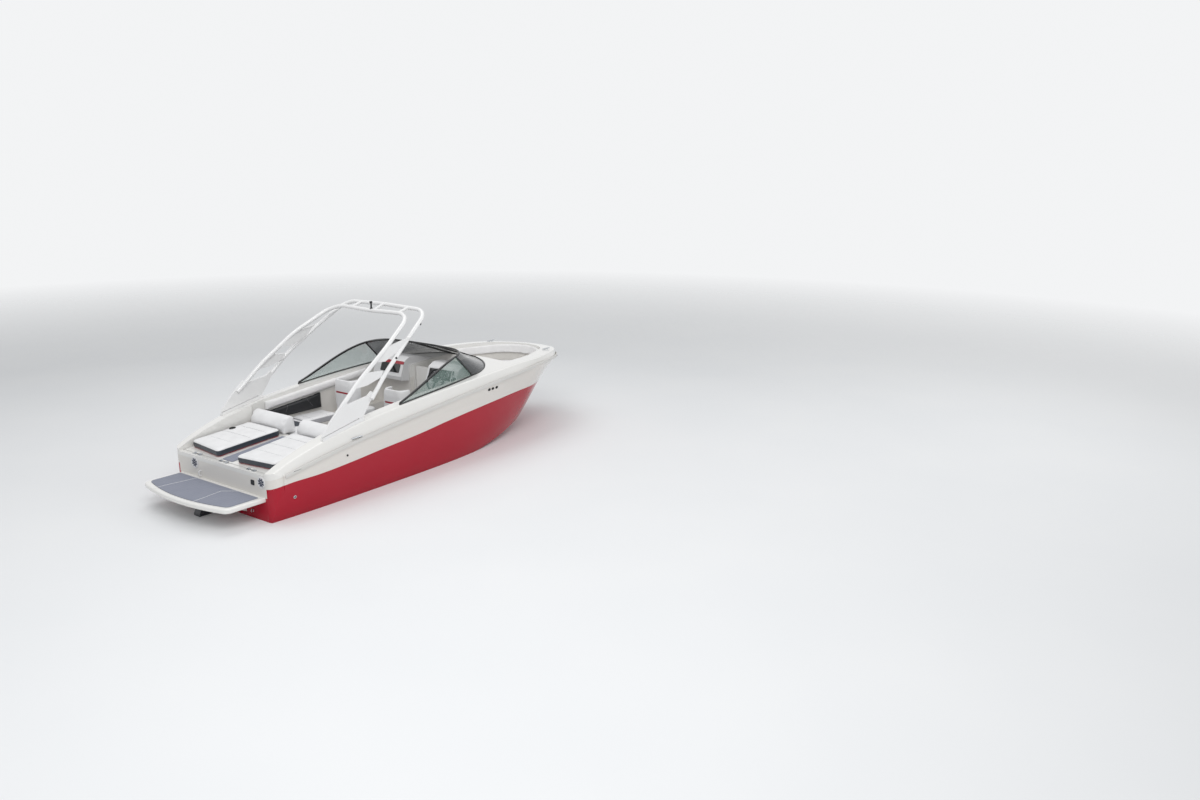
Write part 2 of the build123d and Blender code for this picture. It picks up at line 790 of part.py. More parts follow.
with BuildPart() as door_jambs:
    with BuildSketch(Plane.XY.offset(passage_z + seat_gap)):
        for side in (1, -1):
            with Locations((door_x + 8, side * (passage_half - seat_gap - jamb_thick / 2))):
                Rectangle(100, jamb_thick)
    extrude(amount=1345 - passage_z)
    for row in KNUCKLE_ROWS:
        for low in (row - knuckle_height - seat_gap, row + knuckle_height + seat_gap):
            with BuildSketch(Plane.XY.offset(low)):
                with Locations((hinge_x, hinge_y)):
                    Circle(knuckle_radius)
                with Locations((hinge_x, jamb_face_y - 3)):
                    Rectangle(8, 8)
            extrude(amount=knuckle_height)
        with BuildSketch(Plane.XY.offset(row - 5)):
            with Locations((hinge_x, hinge_y)):
                Circle(hinge_pin)
        extrude(amount=knuckle_height + 10)
door_jambs.part.label = "door_jambs"
export_step(door_jambs.part, "parts/door_jambs.step")

# Bow seating

bow_cushion_top_z = 1030
bolster_low_z = 1150
bow_bolster_thick = 52
bow_clear = 8


def bow_outline(z, inset):
    """Plan of the bow well at a height, drawn in by a margin."""
    share = (z - bow_seat_base_z) / (well_clearance_z - bow_seat_base_z)
    aft_y, mid_x, mid_y, shoulder_x, shoulder_y, nose_x = (
        a + (b - a) * share for a, b in zip(BOW_LOW, BOW_HIGH)
    )
    bow_well_outline(
        BowWell(aft_y - inset, mid_x, mid_y - inset, shoulder_x - 0.4 * inset, shoulder_y - inset, nose_x - inset)
    )


with BuildPart() as bow_cushion:
    with BuildSketch(Plane.XY.offset(bow_seat_base_z + seat_gap)):
        with BuildLine():
            bow_outline(bow_seat_base_z, bow_clear)
        make_face()
        with Locations(((bow_aft + bow_footwell_fwd) / 2 - 20, 0)):
            RectangleRounded(
                bow_footwell_fwd - bow_aft + 60, 2 * (passage_half + 12), well_round, mode=Mode.SUBTRACT
            )
        with Locations((bow_aft, 0)):
            Rectangle(40, 4000, mode=Mode.SUBTRACT)
    extrude(amount=bow_cushion_top_z - bow_seat_base_z)
bow_cushion.part.label = "bow_cushion"
export_step(bow_cushion.part, "parts/bow_cushion.step")

with BuildPart() as bow_bolster:
    for height in (bolster_low_z, bow_top_z):
        with BuildSketch(Plane.XY.offset(height)):
            with BuildLine():
                bow_outline(height, 2)
            make_face()
    loft()
    for height in (bolster_low_z - 10, bow_top_z + 10):
        with BuildSketch(Plane.XY.offset(height)):
            with BuildLine():
                bow_outline(height, 2 + bow_bolster_thick)
            make_face()
    loft(mode=Mode.SUBTRACT)
    with Locations((bow_aft, 0, bow_top_z)):
        Box(240, 4000, 900, mode=Mode.SUBTRACT)
bow_bolster.part.label = "bow_bolster"
export_step(bow_bolster.part, "parts/bow_bolster.step")

with BuildPart() as bow_backrests:
    with BuildSketch(Plane.XZ.offset(-860)):
        with BuildLine():
            Polyline(
                (bow_aft + seat_gap, bow_cushion_top_z + 6),
                (bow_aft + 120, bow_cushion_top_z + 6),
                (bow_aft + 66, 1345),
                (bow_aft + seat_gap, 1345),
                close=True,
            )
        make_face()
        fillet(vertices().sort_by(Axis.X)[-2:], 20)
    extrude(amount=860 - passage_half - 20)
    mirror(about=Plane.XZ)
bow_backrests.part.label = "bow_backrests"
export_step(bow_backrests.part, "parts/bow_backrests.step")

# Windscreen. One row for each post from the aft tip to the passage, port side:
# foot and head of the glass, as (x, y, z).
Post = namedtuple("Post", "foot head")
POSTS = [
    Post((2290, 1199, 1205), (2300, 1198, 1232)),
    Post((2700, 1192, 1242), (2700, 1187, 1385)),
    Post((3250, 1172, 1286), (3236, 1148, 1600)),
    Post((4000, 1090, 1340), (3644, 1076, 1710)),
    Post((4450, 940, 1360), (3890, 888, 1742)),
    Post((4780, 600, 1390), (3966, 560, 1750)),
    Post((4930, 282, 1402), (3985, 282, 1752)),
]
rail_half = 14              # half height of the foot and head rails
rail_thick = 28
mullion_half = 12
glass_thick = 6
glass_margin = 1
SPANS = {"side": (0, 3), "front": (3, 6)}       # rows of the posts that each pane runs between


def post_planes():
    """A plane across the windscreen at each port post: X up the glass, Y through it."""
    feet = [Vector(*p.foot) for p in POSTS]
    heads = [Vector(*p.head) for p in POSTS]
    planes = []
    for i in range(len(POSTS)):
        a, b = max(i - 1, 0), min(i + 1, len(POSTS) - 1)
        along = (feet[b] + heads[b]) - (feet[a] + heads[a])
        if i == len(POSTS) - 1:
            along = Vector(0, -1, 0)
        up = heads[i] - feet[i]
        along = along - up * (along.dot(up) / up.dot(up))
        planes.append((Plane(origin=feet[i], x_dir=up, z_dir=along), up.length))
    return planes


def screen_strip(span, low, high):
    """Glass across the posts of a span; low is measured up from the foot, high from the head."""
    with BuildPart() as strip:
        for plane, length in post_planes()[span[0]:span[1] + 1]:
            with BuildSketch(plane):
                with Locations(((low + length + high) / 2, 0)):
                    Rectangle(length + high - low, glass_thick)
        loft()
    return strip.part


def screen_rail(span, at_head):
    """Loft along the foot or the head of the windscreen."""
    with BuildPart() as rail:
        for plane, length in post_planes()[span[0]:span[1] + 1]:
            with BuildSketch(plane):
                with Locations((length if at_head else 0, 0)):
                    Rectangle(2 * rail_half, rail_thick)
        loft()
    return rail.part


def screen_post(row, grow):
    """Upright at one row of the post table."""
    plane, length = post_planes()[row]
    foot = Plane(origin=plane.origin, x_dir=plane.z_dir, z_dir=plane.x_dir)
    with BuildPart() as post:
        with BuildSketch(foot.offset(-grow)):
            Rectangle(2 * (mullion_half + grow), rail_thick + 2 * grow)
        extrude(amount=length + 2 * grow)
    return post.part


deck_above = deck.part.moved(Location((0, 0, seat_gap)))

# Centre window over the passage, hinged along its port side

window_half = POSTS[-1].foot[1] - mullion_half - run_gap
window_rim = 24
window_plane = Plane(
    origin=(POSTS[-1].foot[0], 0, POSTS[-1].foot[2]),
    x_dir=(0, 1, 0),
    z_dir=(
        POSTS[-1].head[2] - POSTS[-1].foot[2],
        0,
        POSTS[-1].foot[0] - POSTS[-1].head[0],
    ),
)
window_length = post_planes()[-1][1]
window_knuckle = 4
window_pin = 2
window_axis_y = window_half + 3
window_axis_out = rail_thick / 2 + 3
WINDOW_HINGES = [150, 800]      # middles of the two hinges, up from the foot
window_hinge_width = 50
window_leaf = 20


def window_hinge(at, width, way, pin_hole):
    """One knuckle on the window's axis and its leaf, to port for way 1."""
    end = window_plane * Location((window_axis_y, at - width / 2, window_axis_out))
    across = Plane(origin=end.position, x_dir=(0, 1, 0), z_dir=window_plane.y_dir)
    with BuildPart() as knuckle:
        with BuildSketch(across):
            Circle(window_knuckle)
            with Locations((way * window_leaf / 2, 1)):
                Rectangle(window_leaf, 4)
            if pin_hole:
                Circle(window_pin + pin_gap, mode=Mode.SUBTRACT)
        extrude(amount=width)
    return knuckle.part


with BuildPart() as windscreen_frame:
    for span in SPANS.values():
        add(screen_rail(span, True))
        add(screen_rail(span, False))
        add(screen_post(span[1], 0))
    add(deck_above, mode=Mode.SUBTRACT)
    mirror(about=Plane.XZ)
    for middle in WINDOW_HINGES:
        for shift in (-window_hinge_width - 0.6, window_hinge_width + 0.6):
            add(window_hinge(middle + shift, window_hinge_width, 1, False))
        pin_foot = window_plane * Location((window_axis_y, middle - window_hinge_width, window_axis_out))
        with BuildSketch(Plane(origin=pin_foot.position, z_dir=window_plane.y_dir)):
            Circle(window_pin)
        extrude(amount=2 * window_hinge_width)
windscreen_frame.part.label = "windscreen_frame"
export_step(windscreen_frame.part, "parts/windscreen_frame.step")

for name, span in SPANS.items():
    with BuildPart() as glass:
        edge = rail_half + glass_margin
        add(screen_strip(span, edge, -edge))
        for row in span:
            add(screen_post(row, seat_gap), mode=Mode.SUBTRACT)
        add(windscreen_frame.part, mode=Mode.SUBTRACT)
        add(deck_above, mode=Mode.SUBTRACT)
        mirror(about=Plane.XZ)
    glass.part.label = f"{name}_glass"
    export_step(glass.part, f"parts/{name}_glass.step")

with BuildPart() as centre_window_frame:
    with BuildSketch(window_plane.offset(-rail_thick / 2)):
        with Locations((0, window_length / 2)):
            Rectangle(2 * window_half, window_length + 2 * rail_half)
            Rectangle(
                2 * (window_half - window_rim),
                window_length + 2 * rail_half - 2 * window_rim,
                mode=Mode.SUBTRACT,
            )
    extrude(amount=rail_thick)
    for middle in WINDOW_HINGES:
        add(window_hinge(middle, window_hinge_width, -1, True))
centre_window_frame.part.label = "centre_window_frame"
export_step(centre_window_frame.part, "parts/centre_window_frame.step")

with BuildPart() as centre_window_glass:
    with BuildSketch(window_plane.offset(-glass_thick / 2)):
        with Locations((0, window_length / 2)):
            Rectangle(
                2 * (window_half - window_rim - seat_gap),
                window_length + 2 * rail_half - 2 * window_rim - 2 * seat_gap,
            )
    extrude(amount=glass_thick)
centre_window_glass.part.label = "centre_window_glass"
export_step(centre_window_glass.part, "parts/centre_window_glass.step")

# Tower: two hoops of tube on folding base plates
tube_radius = 32
cross_radius = 24
HOOPS = {
    # points up the port leg to the middle of the crossbar
    "aft": [(1140, 1168, 1300), (1600, 1135, 1685), (2200, 1085, 2090), (2890, 880, 2478), (2825, 0, 2470)],
    "fwd": [(1740, 1225, 1412), (2080, 1178, 1735), (2620, 1070, 2128), (3190, 945, 2500), (3150, 0, 2530)],
}
hoop_radii = {"aft": 330, "fwd": 280}
leg_radius = 1500
CROSS_PIECES = [((3170, 560), (2868, 440)), ((3152, 0), (2830, -110)), ((3168, -540), (2872, -640))]
pivot_x = 1535
foot_height = 60
plate_y = 1190
plate_thick = 34
cheek = 10
cheek_gap = 1
lug_radius = 28
pivot_radius = 12
pivot_z = gunwale_z(pivot_x) + 45
plate_low = foot_height + run_gap
PLATE = [
    (842, gunwale_z(842) + plate_low),
    (874, 1086),
    (999, 1224),
    (1137, 1349),
    (1268, 1455),
    (1335, 1412),
    (1690, 1465),
    (1762, 1520),
    (1812, 1480),
    (1707, 1343),
    (1603, 1200),
    (pivot_x + lug_radius, pivot_z),
    (pivot_x - lug_radius, pivot_z),
    (pivot_x - lug_radius, gunwale_z(pivot_x - lug_radius) + plate_low),
]
GUSSETS = {
    # y of the middle, then the corners as (x, z)
    1152: [(1483, 1597), (1731, 1790), (2036, 1770), (1990, 1680), (1718, 1608)],
    1088: [(1923, 1905), (2195, 2085), (2345, 2118), (2656, 2171), (2349, 1969), (2140, 1884)],
}


def plate_solid(points, y, thick):
    """Flat plate standing lengthwise, port side."""
    with BuildPart() as plate:
        with BuildSketch(Plane.XZ.offset(-y - thick / 2)):
            with BuildLine():
                Polyline(*points, close=True)
            make_face()
        extrude(amount=thick)
    return plate.part


def bar_height(name, x_y):
    """Height of a crossbar's middle line at a place across the boat."""
    corner, middle = HOOPS[name][-2], HOOPS[name][-1]
    return middle[2] + (corner[2] - middle[2]) * abs(x_y[1]) / corner[1]


with BuildPart() as tower:
    for name, points in HOOPS.items():
        far = [(x, -y, z) for x, y, z in reversed(points[:-1])]
        radii = [leg_radius] * (len(points) - 3) + [hoop_radii[name]]
        with BuildLine() as path:
            FilletPolyline(*points, *far, radius=radii + [leg_radius] + radii[::-1])
        with BuildSketch(path.line ^ 0):
            Circle(tube_radius)
        sweep(path=path.line)
    for fwd_end, aft_end in CROSS_PIECES:
        a = Vector(*fwd_end, bar_height("fwd", fwd_end))
        b = Vector(*aft_end, bar_height("aft", aft_end))
        with BuildSketch(Plane(origin=a, z_dir=b - a)):
            Circle(cross_radius)
        extrude(amount=(b - a).length)
    for side in (1, -1):
        plates = [plate_solid(PLATE, plate_y, plate_thick)]
        plates += [plate_solid(points, y, 34) for y, points in GUSSETS.items()]
        for plate in plates:
            add(plate if side > 0 else plate.mirror(Plane.XZ))
        with BuildSketch(Plane.XZ.offset(-side * plate_y - plate_thick / 2)):
            with Locations((pivot_x, pivot_z)):
                Circle(lug_radius)
        extrude(amount=plate_thick)
        with BuildSketch(Plane.XZ.offset(-side * plate_y - plate_thick)):
            with Locations((pivot_x, pivot_z)):
                Circle(pivot_radius + pin_gap)
        extrude(amount=2 * plate_thick, mode=Mode.SUBTRACT)
tower.part.label = "tower"
export_step(tower.part, "parts/tower.step")

foot_half = plate_thick / 2 + cheek_gap + cheek
FOOT = [
    (842, gunwale_z(842) - 40),
    (842, gunwale_z(842) + foot_height - 26),
    (866, gunwale_z(866) + foot_height),
    (1560, gunwale_z(1560) + foot_height),
    (1590, pivot_z),
    (1590, gunwale_z(1590) - 40),
]

with BuildPart() as tower_feet:
    add(plate_solid(FOOT, plate_y, 2 * foot_half))
    with BuildSketch(Plane.XZ.offset(-plate_y - plate_thick / 2 - cheek_gap)):
        with Locations((pivot_x + 65, pivot_z + 62)):
            Rectangle(200, 124 + 2 * (lug_radius + run_gap))
    extrude(amount=plate_thick + 2 * cheek_gap, mode=Mode.SUBTRACT)
    add(deck_above, mode=Mode.SUBTRACT)
    with BuildSketch(Plane.XZ.offset(-plate_y - foot_half)):
        with Locations((pivot_x, pivot_z)):
            Circle(pivot_radius)
    extrude(amount=2 * foot_half)
    mirror(about=Plane.XZ)
tower_feet.part.label = "tower_feet"
export_step(tower_feet.part, "parts/tower_feet.step")

light_x = 2828
light_y = -70
light_low_z = bar_height("aft", (light_x, light_y)) + tube_radius + seat_gap

with BuildPart() as tower_light:
    for radius, low, high in ((24, 0, 8), (13, 8, 82), (22, 82, 112)):
        with BuildSketch(Plane.XY.offset(light_low_z + low)):
            with Locations((light_x, light_y)):
                Circle(radius)
        extrude(amount=high - low)
tower_light.part.label = "tower_light"
export_step(tower_light.part, "parts/tower_light.step")

# Deck fittings. One row for each port cleat: middle of its foot on the deck, and the
# way it stands off.
Cleat = namedtuple("Cleat", "x y z out")
CLEATS = [Cleat(1383, 1252, 926, (0, 1, 0)), Cleat(6420, 690, 1336, (0, 0, 1))]
cleat_length = 190
cleat_bar = 10
cleat_post = 9
cleat_spread = 35
cleat_height = 32

with BuildPart() as cleats:
    for c in CLEATS:
        out = Vector(*c.out)
        middle = Vector(c.x, c.y, c.z) + out * cleat_height
        end = middle - Vector(cleat_length / 2, 0, 0)
        with BuildSketch(Plane(origin=end, z_dir=(1, 0, 0))):
            Circle(cleat_bar)
        extrude(amount=cleat_length)
        for shift in (-cleat_spread, cleat_spread):
            with BuildSketch(Plane(origin=middle + Vector(shift, 0, 0), z_dir=out * -1)):
                Circle(cleat_post)
            extrude(amount=2 * cleat_height)
    add(deck.part, mode=Mode.SUBTRACT)
    mirror(about=Plane.XZ)
cleats.part.label = "cleats"
export_step(cleats.part, "parts/cleats.step")

eye_radius = 22
eye_tube = 6
bow_eye_place = (7034, 920)     # x and z of the middle of the ring
stern_eye_y = 700
stern_eye_place = (-18, 110)


def tow_eye(x, y, z):
    """Upright ring lengthwise to the boat."""
    with BuildPart() as eye:
        with BuildSketch(Plane(origin=(x, y, z), x_dir=(0, 0, 1), z_dir=(1, 0, 0))):
            with Locations((eye_radius, 0)):
                Circle(eye_tube)
        revolve(axis=Axis((x, y, z), (0, 1, 0)))
    return eye.part


with BuildPart() as tow_eyes:
    add(tow_eye(bow_eye_place[0], 0, bow_eye_place[1]))
    for y in (-stern_eye_y, stern_eye_y):
        add(tow_eye(stern_eye_place[0], y, stern_eye_place[1]))
    add(hull.part, mode=Mode.SUBTRACT)
tow_eyes.part.label = "tow_eyes"
export_step(tow_eyes.part, "parts/tow_eyes.step")

# Engine, one plain block on four feet

engine_aft = 240
engine_fwd = 1080
engine_half = 320
engine_low_z = -130
engine_top_z = 470

with BuildPart() as engine:
    length = engine_fwd - engine_aft
    with Locations(((engine_aft + engine_fwd) / 2, 0, (engine_low_z + engine_top_z) / 2)):
        Box(length, 2 * engine_half, engine_top_z - engine_low_z)
    fillet(edges().filter_by(Axis.X), 60)
    foot_low = bay_floor_z + seat_gap
    with Locations(((engine_aft + engine_fwd) / 2, 0, (foot_low + engine_low_z) / 2 + 20)):
        with GridLocations(length - 140, 2 * engine_half - 240, 2, 2):
            Box(120, 90, engine_low_z - foot_low + 40)
engine.part.label = "engine"
export_step(engine.part, "parts/engine.step")

# Sterndrive. The ring steers about an upright axis, the leg tilts about a level one in it.
steer_x = -150
tilt_z = -20
ring_half = 108
ring_inner = 82
ring_thick = 36
ring_top = (tilt_z + 98, tilt_z + 124)      # z of the faces of its upper bar
ring_low = (tilt_z - 232, tilt_z - 206)     # and of its lower bar
arm_thick = 28
arm_half = 32
king_pin = 11
shield_half = 165
shield_thick = 45
tilt_pin = 14

with BuildPart() as transom_shield:
    shield_low = ring_low[0] - 60
    shield_high = ring_top[1] + 60
    with BuildSketch(Plane.YZ.offset(-seat_gap)):
        with Locations((0, (shield_low + shield_high) / 2)):
            RectangleRounded(2 * shield_half, shield_high - shield_low, 50)
    extrude(amount=-shield_thick + seat_gap)
    for face_z, way in ((ring_top[1] + run_gap, 1), (ring_low[0] - run_gap, -1)):
        with BuildSketch(Plane.XY.offset(face_z)):
            with Locations(((steer_x - shield_thick) / 2 + 10, 0)):
                Rectangle(-steer_x - shield_thick + 20, 2 * arm_half)
            with Locations((steer_x, 0)):
                Circle(arm_half)
        extrude(amount=way * arm_thick)
        with BuildSketch(Plane.XY.offset(face_z)):
            with Locations((steer_x, 0)):
                Circle(king_pin)
        extrude(amount=-way * (run_gap + ring_top[1] - ring_top[0] - 2))
transom_shield.part.label = "transom_shield"
export_step(transom_shield.part, "parts/transom_shield.step")

trim_eye = (-400, -150)         # x and z of the rods' pins on the leg
trim_foot = (-175, -240)        # x and z of the barrels' pins on the ring
trim_y = 136
trim_pin = 9
trim_eye_pin = 8
trim_eye_play = 4.8             # the opened pivot drifts by this much between the ends of its travel
trim_ring_width = 18

with BuildPart() as gimbal_ring:
    with BuildSketch(Plane.YZ.offset(steer_x - ring_thick / 2)):
        with Locations((0, (ring_low[0] + ring_top[1]) / 2)):
            RectangleRounded(2 * ring_half, ring_top[1] - ring_low[0], 22)
        with Locations((0, (ring_low[1] + ring_top[0]) / 2)):
            Rectangle(2 * ring_inner, ring_top[0] - ring_low[1], mode=Mode.SUBTRACT)
    extrude(amount=ring_thick)
    with BuildSketch(Plane.XY.offset(ring_low[0] - 10)):
        with Locations((steer_x, 0)):
            Circle(king_pin + pin_gap)
    extrude(amount=ring_top[1] - ring_low[0] + 20, mode=Mode.SUBTRACT)
    # pins the leg tilts on, then the lugs and pins of the trim barrels
    for side in (1, -1):
        with BuildSketch(Plane.XZ.offset(-side * ring_inner - (side > 0) * 4)):
            with Locations((steer_x, tilt_z)):
                Circle(tilt_pin)
        extrude(amount=side * 26 + (4 if side > 0 else 4) * side)
        with BuildSketch(Plane.XZ.offset(-side * (ring_half - 10))):
            with Locations(trim_foot):
                Circle(20)
            with Locations(((trim_foot[0] + steer_x) / 2, trim_foot[1])):
                Rectangle(24, 26)
        extrude(amount=-side * 10)
        with BuildSketch(Plane.XZ.offset(-side * ring_half)):
            with Locations(trim_foot):
                Circle(trim_pin)
        extrude(amount=-side * (trim_y - ring_half + trim_ring_width))
gimbal_ring.part.label = "gimbal_ring"
export_step(gimbal_ring.part, "parts/gimbal_ring.step")

LEG_UPPER = [
    (steer_x + 18, tilt_z + 82),
    (steer_x - 18, tilt_z + 82),
    (steer_x - 24, tilt_z + 62),
    (-262, tilt_z + 62),
    (-300, 85),
    (-395, 85),
    (-428, 30),
    (-428, -200),
    (steer_x + 18, -200),
]
LEG_LOWER = [(-235, -190), (-425, -190), (-440, -335), (-420, -560), (-250, -560), (-215, -335)]
leg_upper_half = 68
leg_lower_half = 36
shaft_z = -565
torpedo_radius = 54
torpedo_fwd = -190
torpedo_aft = -556
shaft_radius = 14
shaft_end = -694
cavitation_z = -340
PROPELLERS = {
    # x of the aft face, radius of the blades and their pitch angle
    "front": (-624, 188, 28),
    "rear": (-692, 176, -28),
}
prop_hub = 52
prop_length = 60
blade_count = 4
blade_width = 96
blade_thick = 7

with BuildPart() as drive_leg:
    for points, half in ((LEG_UPPER, leg_upper_half), (LEG_LOWER, leg_lower_half)):
        with BuildSketch(Plane.XZ.offset(-half)):
            with BuildLine():
                Polyline(*points, close=True)
            make_face()
        extrude(amount=2 * half)
    fillet(edges().filter_by(Axis.Z, tolerance=12).group_by(Axis.X)[0], 20)
    with BuildSketch(Plane.XY.offset(cavitation_z)):
        with BuildLine():
            Polyline((-440, 92), (-700, 70), (-730, 0), (-700, -70), (-440, -92), (-190, 0), close=True)
        make_face()
    extrude(amount=12)
    with BuildSketch(Plane.YZ.offset(torpedo_aft)):
        with Locations((0, shaft_z)):
            Circle(torpedo_radius)
    extrude(amount=torpedo_fwd + 110 - torpedo_aft - 110 - 80)
    with BuildSketch(Plane.YZ.offset(torpedo_fwd - 81)):
        with Locations((0, shaft_z)):
            Circle(torpedo_radius)
    extrude(amount=80, taper=24)
    with BuildSketch(Plane.YZ.offset(torpedo_aft + 20)):
        with Locations((0, shaft_z)):
            Circle(shaft_radius)
    extrude(amount=shaft_end - torpedo_aft - 20)
    with BuildSketch(Plane.XZ.offset(-6)):
        with BuildLine():
            Polyline((-300, shaft_z), (-540, shaft_z), (-520, -790), (-430, -800), close=True)
        make_face()
    extrude(amount=12)
    with BuildSketch(Plane.XZ.offset(-ring_half)):
        with Locations((steer_x, tilt_z)):
            Circle(tilt_pin + pin_gap)
    extrude(amount=2 * ring_half, mode=Mode.SUBTRACT)
    with BuildSketch(Plane.XZ.offset(-trim_y - trim_ring_width)):
        with Locations(trim_eye):
            Circle(trim_eye_pin)
    extrude(amount=2 * (trim_y + trim_ring_width))
drive_leg.part.label = "drive_leg"
export_step(drive_leg.part, "parts/drive_leg.step")

# Trim cylinders: barrels on the ring, rods to the leg
trim_vector = Vector(trim_eye[0] - trim_foot[0], 0, trim_eye[1] - trim_foot[1])
trim_length = trim_vector.length
barrel_radius = 22
barrel_end = 182
rod_radius = 11
rod_start = 36


def trim_plane(y):
    """Plane across a trim cylinder at its foot, Z along the cylinder."""
    return Plane(origin=(trim_foot[0], y, trim_foot[1]), x_dir=(0, 1, 0), z_dir=trim_vector)


with BuildPart() as trim_barrels:
    for y in (-trim_y, trim_y):
        with BuildSketch(trim_plane(y).offset(14)):
            Circle(barrel_radius)
        extrude(amount=barrel_end - 14)
        with BuildSketch(Plane.XZ.offset(-y - trim_ring_width / 2)):
            with Locations(trim_foot):
                Circle(19)
        extrude(amount=trim_ring_width)
        with BuildSketch(trim_plane(y).offset(16)):
            Circle(rod_radius + pin_gap)
        extrude(amount=barrel_end, mode=Mode.SUBTRACT)
        with BuildSketch(Plane.XZ.offset(-y - barrel_radius)):
            with Locations(trim_foot):
                Circle(trim_pin + pin_gap)
        extrude(amount=2 * barrel_radius, mode=Mode.SUBTRACT)
trim_barrels.part.label = "trim_barrels"
export_step(trim_barrels.part, "parts/trim_barrels.step")

with BuildPart() as trim_rods:
    for y in (-trim_y, trim_y):
        with BuildSketch(trim_plane(y).offset(rod_start)):
            Circle(rod_radius)
        extrude(amount=trim_length - rod_start - 12)
        with BuildSketch(Plane.XZ.offset(-y - trim_ring_width / 2)):
            with Locations(trim_eye):
                Circle(trim_eye_pin + trim_eye_play + 8)
        extrude(amount=trim_ring_width)
        with BuildSketch(Plane.XZ.offset(-y - barrel_radius)):
            with Locations(trim_eye):
                Circle(trim_eye_pin + trim_eye_play)
        extrude(amount=2 * barrel_radius, mode=Mode.SUBTRACT)
trim_rods.part.label = "trim_rods"
export_step(trim_rods.part, "parts/trim_rods.step")

for name, (aft_x, radius, pitch) in PROPELLERS.items():
    with BuildPart() as propeller:
        with BuildSketch(Plane.YZ.offset(aft_x)):
            with Locations((0, shaft_z)):
                Circle(prop_hub)
                Circle(shaft_radius + pin_gap, mode=Mode.SUBTRACT)
        extrude(amount=prop_length)
        for i in range(blade_count):
            turn = radians(360 / blade_count * i + 20)
            radial = Vector(0, cos(turn), sin(turn))
            round_hub = Vector(0, -sin(turn), cos(turn))
            face = round_hub * sin(radians(pitch)) + Vector(1, 0, 0) * cos(radians(pitch))
            middle = Vector(aft_x + prop_length / 2, 0, shaft_z) + radial * ((radius + prop_hub - 12) / 2)
            with BuildSketch(Plane(origin=middle, x_dir=radial, z_dir=face)):
                Ellipse((radius - prop_hub + 12) / 2, blade_width / 2)
            extrude(amount=blade_thick / 2, both=True)
    propeller.part.label = f"{name}_propeller"
    export_step(propeller.part, f"parts/{name}_propeller.step")
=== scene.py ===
from math import ceil, cos, pi, radians, sin, tan

import bmesh
import bpy
import numpy as np
from mathutils import Matrix, Vector
from mathutils.bvhtree import BVHTree


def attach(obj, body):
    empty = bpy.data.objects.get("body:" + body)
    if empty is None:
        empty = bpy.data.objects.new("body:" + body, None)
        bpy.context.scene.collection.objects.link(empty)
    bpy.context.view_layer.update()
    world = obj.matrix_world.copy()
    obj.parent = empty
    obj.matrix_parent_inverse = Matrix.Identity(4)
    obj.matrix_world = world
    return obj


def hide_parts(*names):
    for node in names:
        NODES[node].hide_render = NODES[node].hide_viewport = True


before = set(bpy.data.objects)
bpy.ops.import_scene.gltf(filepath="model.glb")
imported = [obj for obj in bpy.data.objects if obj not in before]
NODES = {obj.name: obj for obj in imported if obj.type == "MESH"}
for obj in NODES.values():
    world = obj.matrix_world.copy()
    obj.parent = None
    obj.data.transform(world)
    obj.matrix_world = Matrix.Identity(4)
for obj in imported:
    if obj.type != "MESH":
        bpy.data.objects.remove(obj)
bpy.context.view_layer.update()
bpy.context.scene.view_settings.view_transform = "Standard"

FORWARD, AFT, UP, DOWN = (Vector(way) for way in ((1, 0, 0), (-1, 0, 0), (0, 0, 1), (0, 0, -1)))
SIDES = (("port", 1), ("starboard", -1))
SEATS = (("helm_seat", -1), ("companion_seat", 1))


def link(obj):
    bpy.context.collection.objects.link(obj)
    return obj


# Camera, at the photograph's viewing angle

FOCAL_LENGTH, SENSOR_WIDTH = 29.38, 36
CAMERA_PLACE = (-7.4926, -12.0166, 4.8225)
# directions of the camera's right, up and back
CAMERA_AXES = ((0.58689, -0.80967, -0.00058), (0.19538, 0.14092, 0.97055),
               (-0.78574, -0.56972, 0.24090))


def add_camera():
    data = bpy.data.cameras.new("camera")
    data.sensor_width = SENSOR_WIDTH
    data.lens = FOCAL_LENGTH
    cam = link(bpy.data.objects.new("camera", data))
    turn = Matrix(CAMERA_AXES).transposed().to_4x4()
    cam.matrix_world = Matrix.Translation(CAMERA_PLACE) @ turn
    bpy.context.scene.camera = cam


add_camera()

# Finishes


def linear(code):
    """sRGB hex code to a linear colour."""
    out = []
    for i in (0, 2, 4):
        c = int(code[i:i + 2], 16) / 255
        out.append(c / 12.92 if c <= 0.04045 else ((c + 0.055) / 1.055) ** 2.4)
    return (*out, 1.0)


def shade(colour, factor):
    """The same colour, darker or lighter."""
    return tuple(min(1, c * factor) for c in colour[:3]) + (1,)


def put(tree, kind, inputs=None, out=0, **settings):
    """Adds a node and gives one of its outputs, or the node where out is None.

    An input is a value, or the output that feeds it.
    """
    node = tree.nodes.new("ShaderNode" + kind)
    for key, value in settings.items():
        setattr(node, key, value)
    for key, value in (inputs or {}).items():
        if isinstance(value, bpy.types.NodeSocket):
            tree.links.new(value, node.inputs[key])
        else:
            node.inputs[key].default_value = value
    return node if out is None else node.outputs[out]


def begin(name):
    """New material, its nodes and the object coordinates that its patterns read."""
    made = bpy.data.materials.new(name)
    made.use_nodes = True
    tree = made.node_tree
    tree.nodes.clear()
    return made, tree, put(tree, "TexCoord", out="Object")


def finish(tree, inputs):
    """Ends a material's nodes in a shader with these inputs."""
    shader = put(tree, "BsdfPrincipled", inputs)
    put(tree, "OutputMaterial", {0: shader}, None)


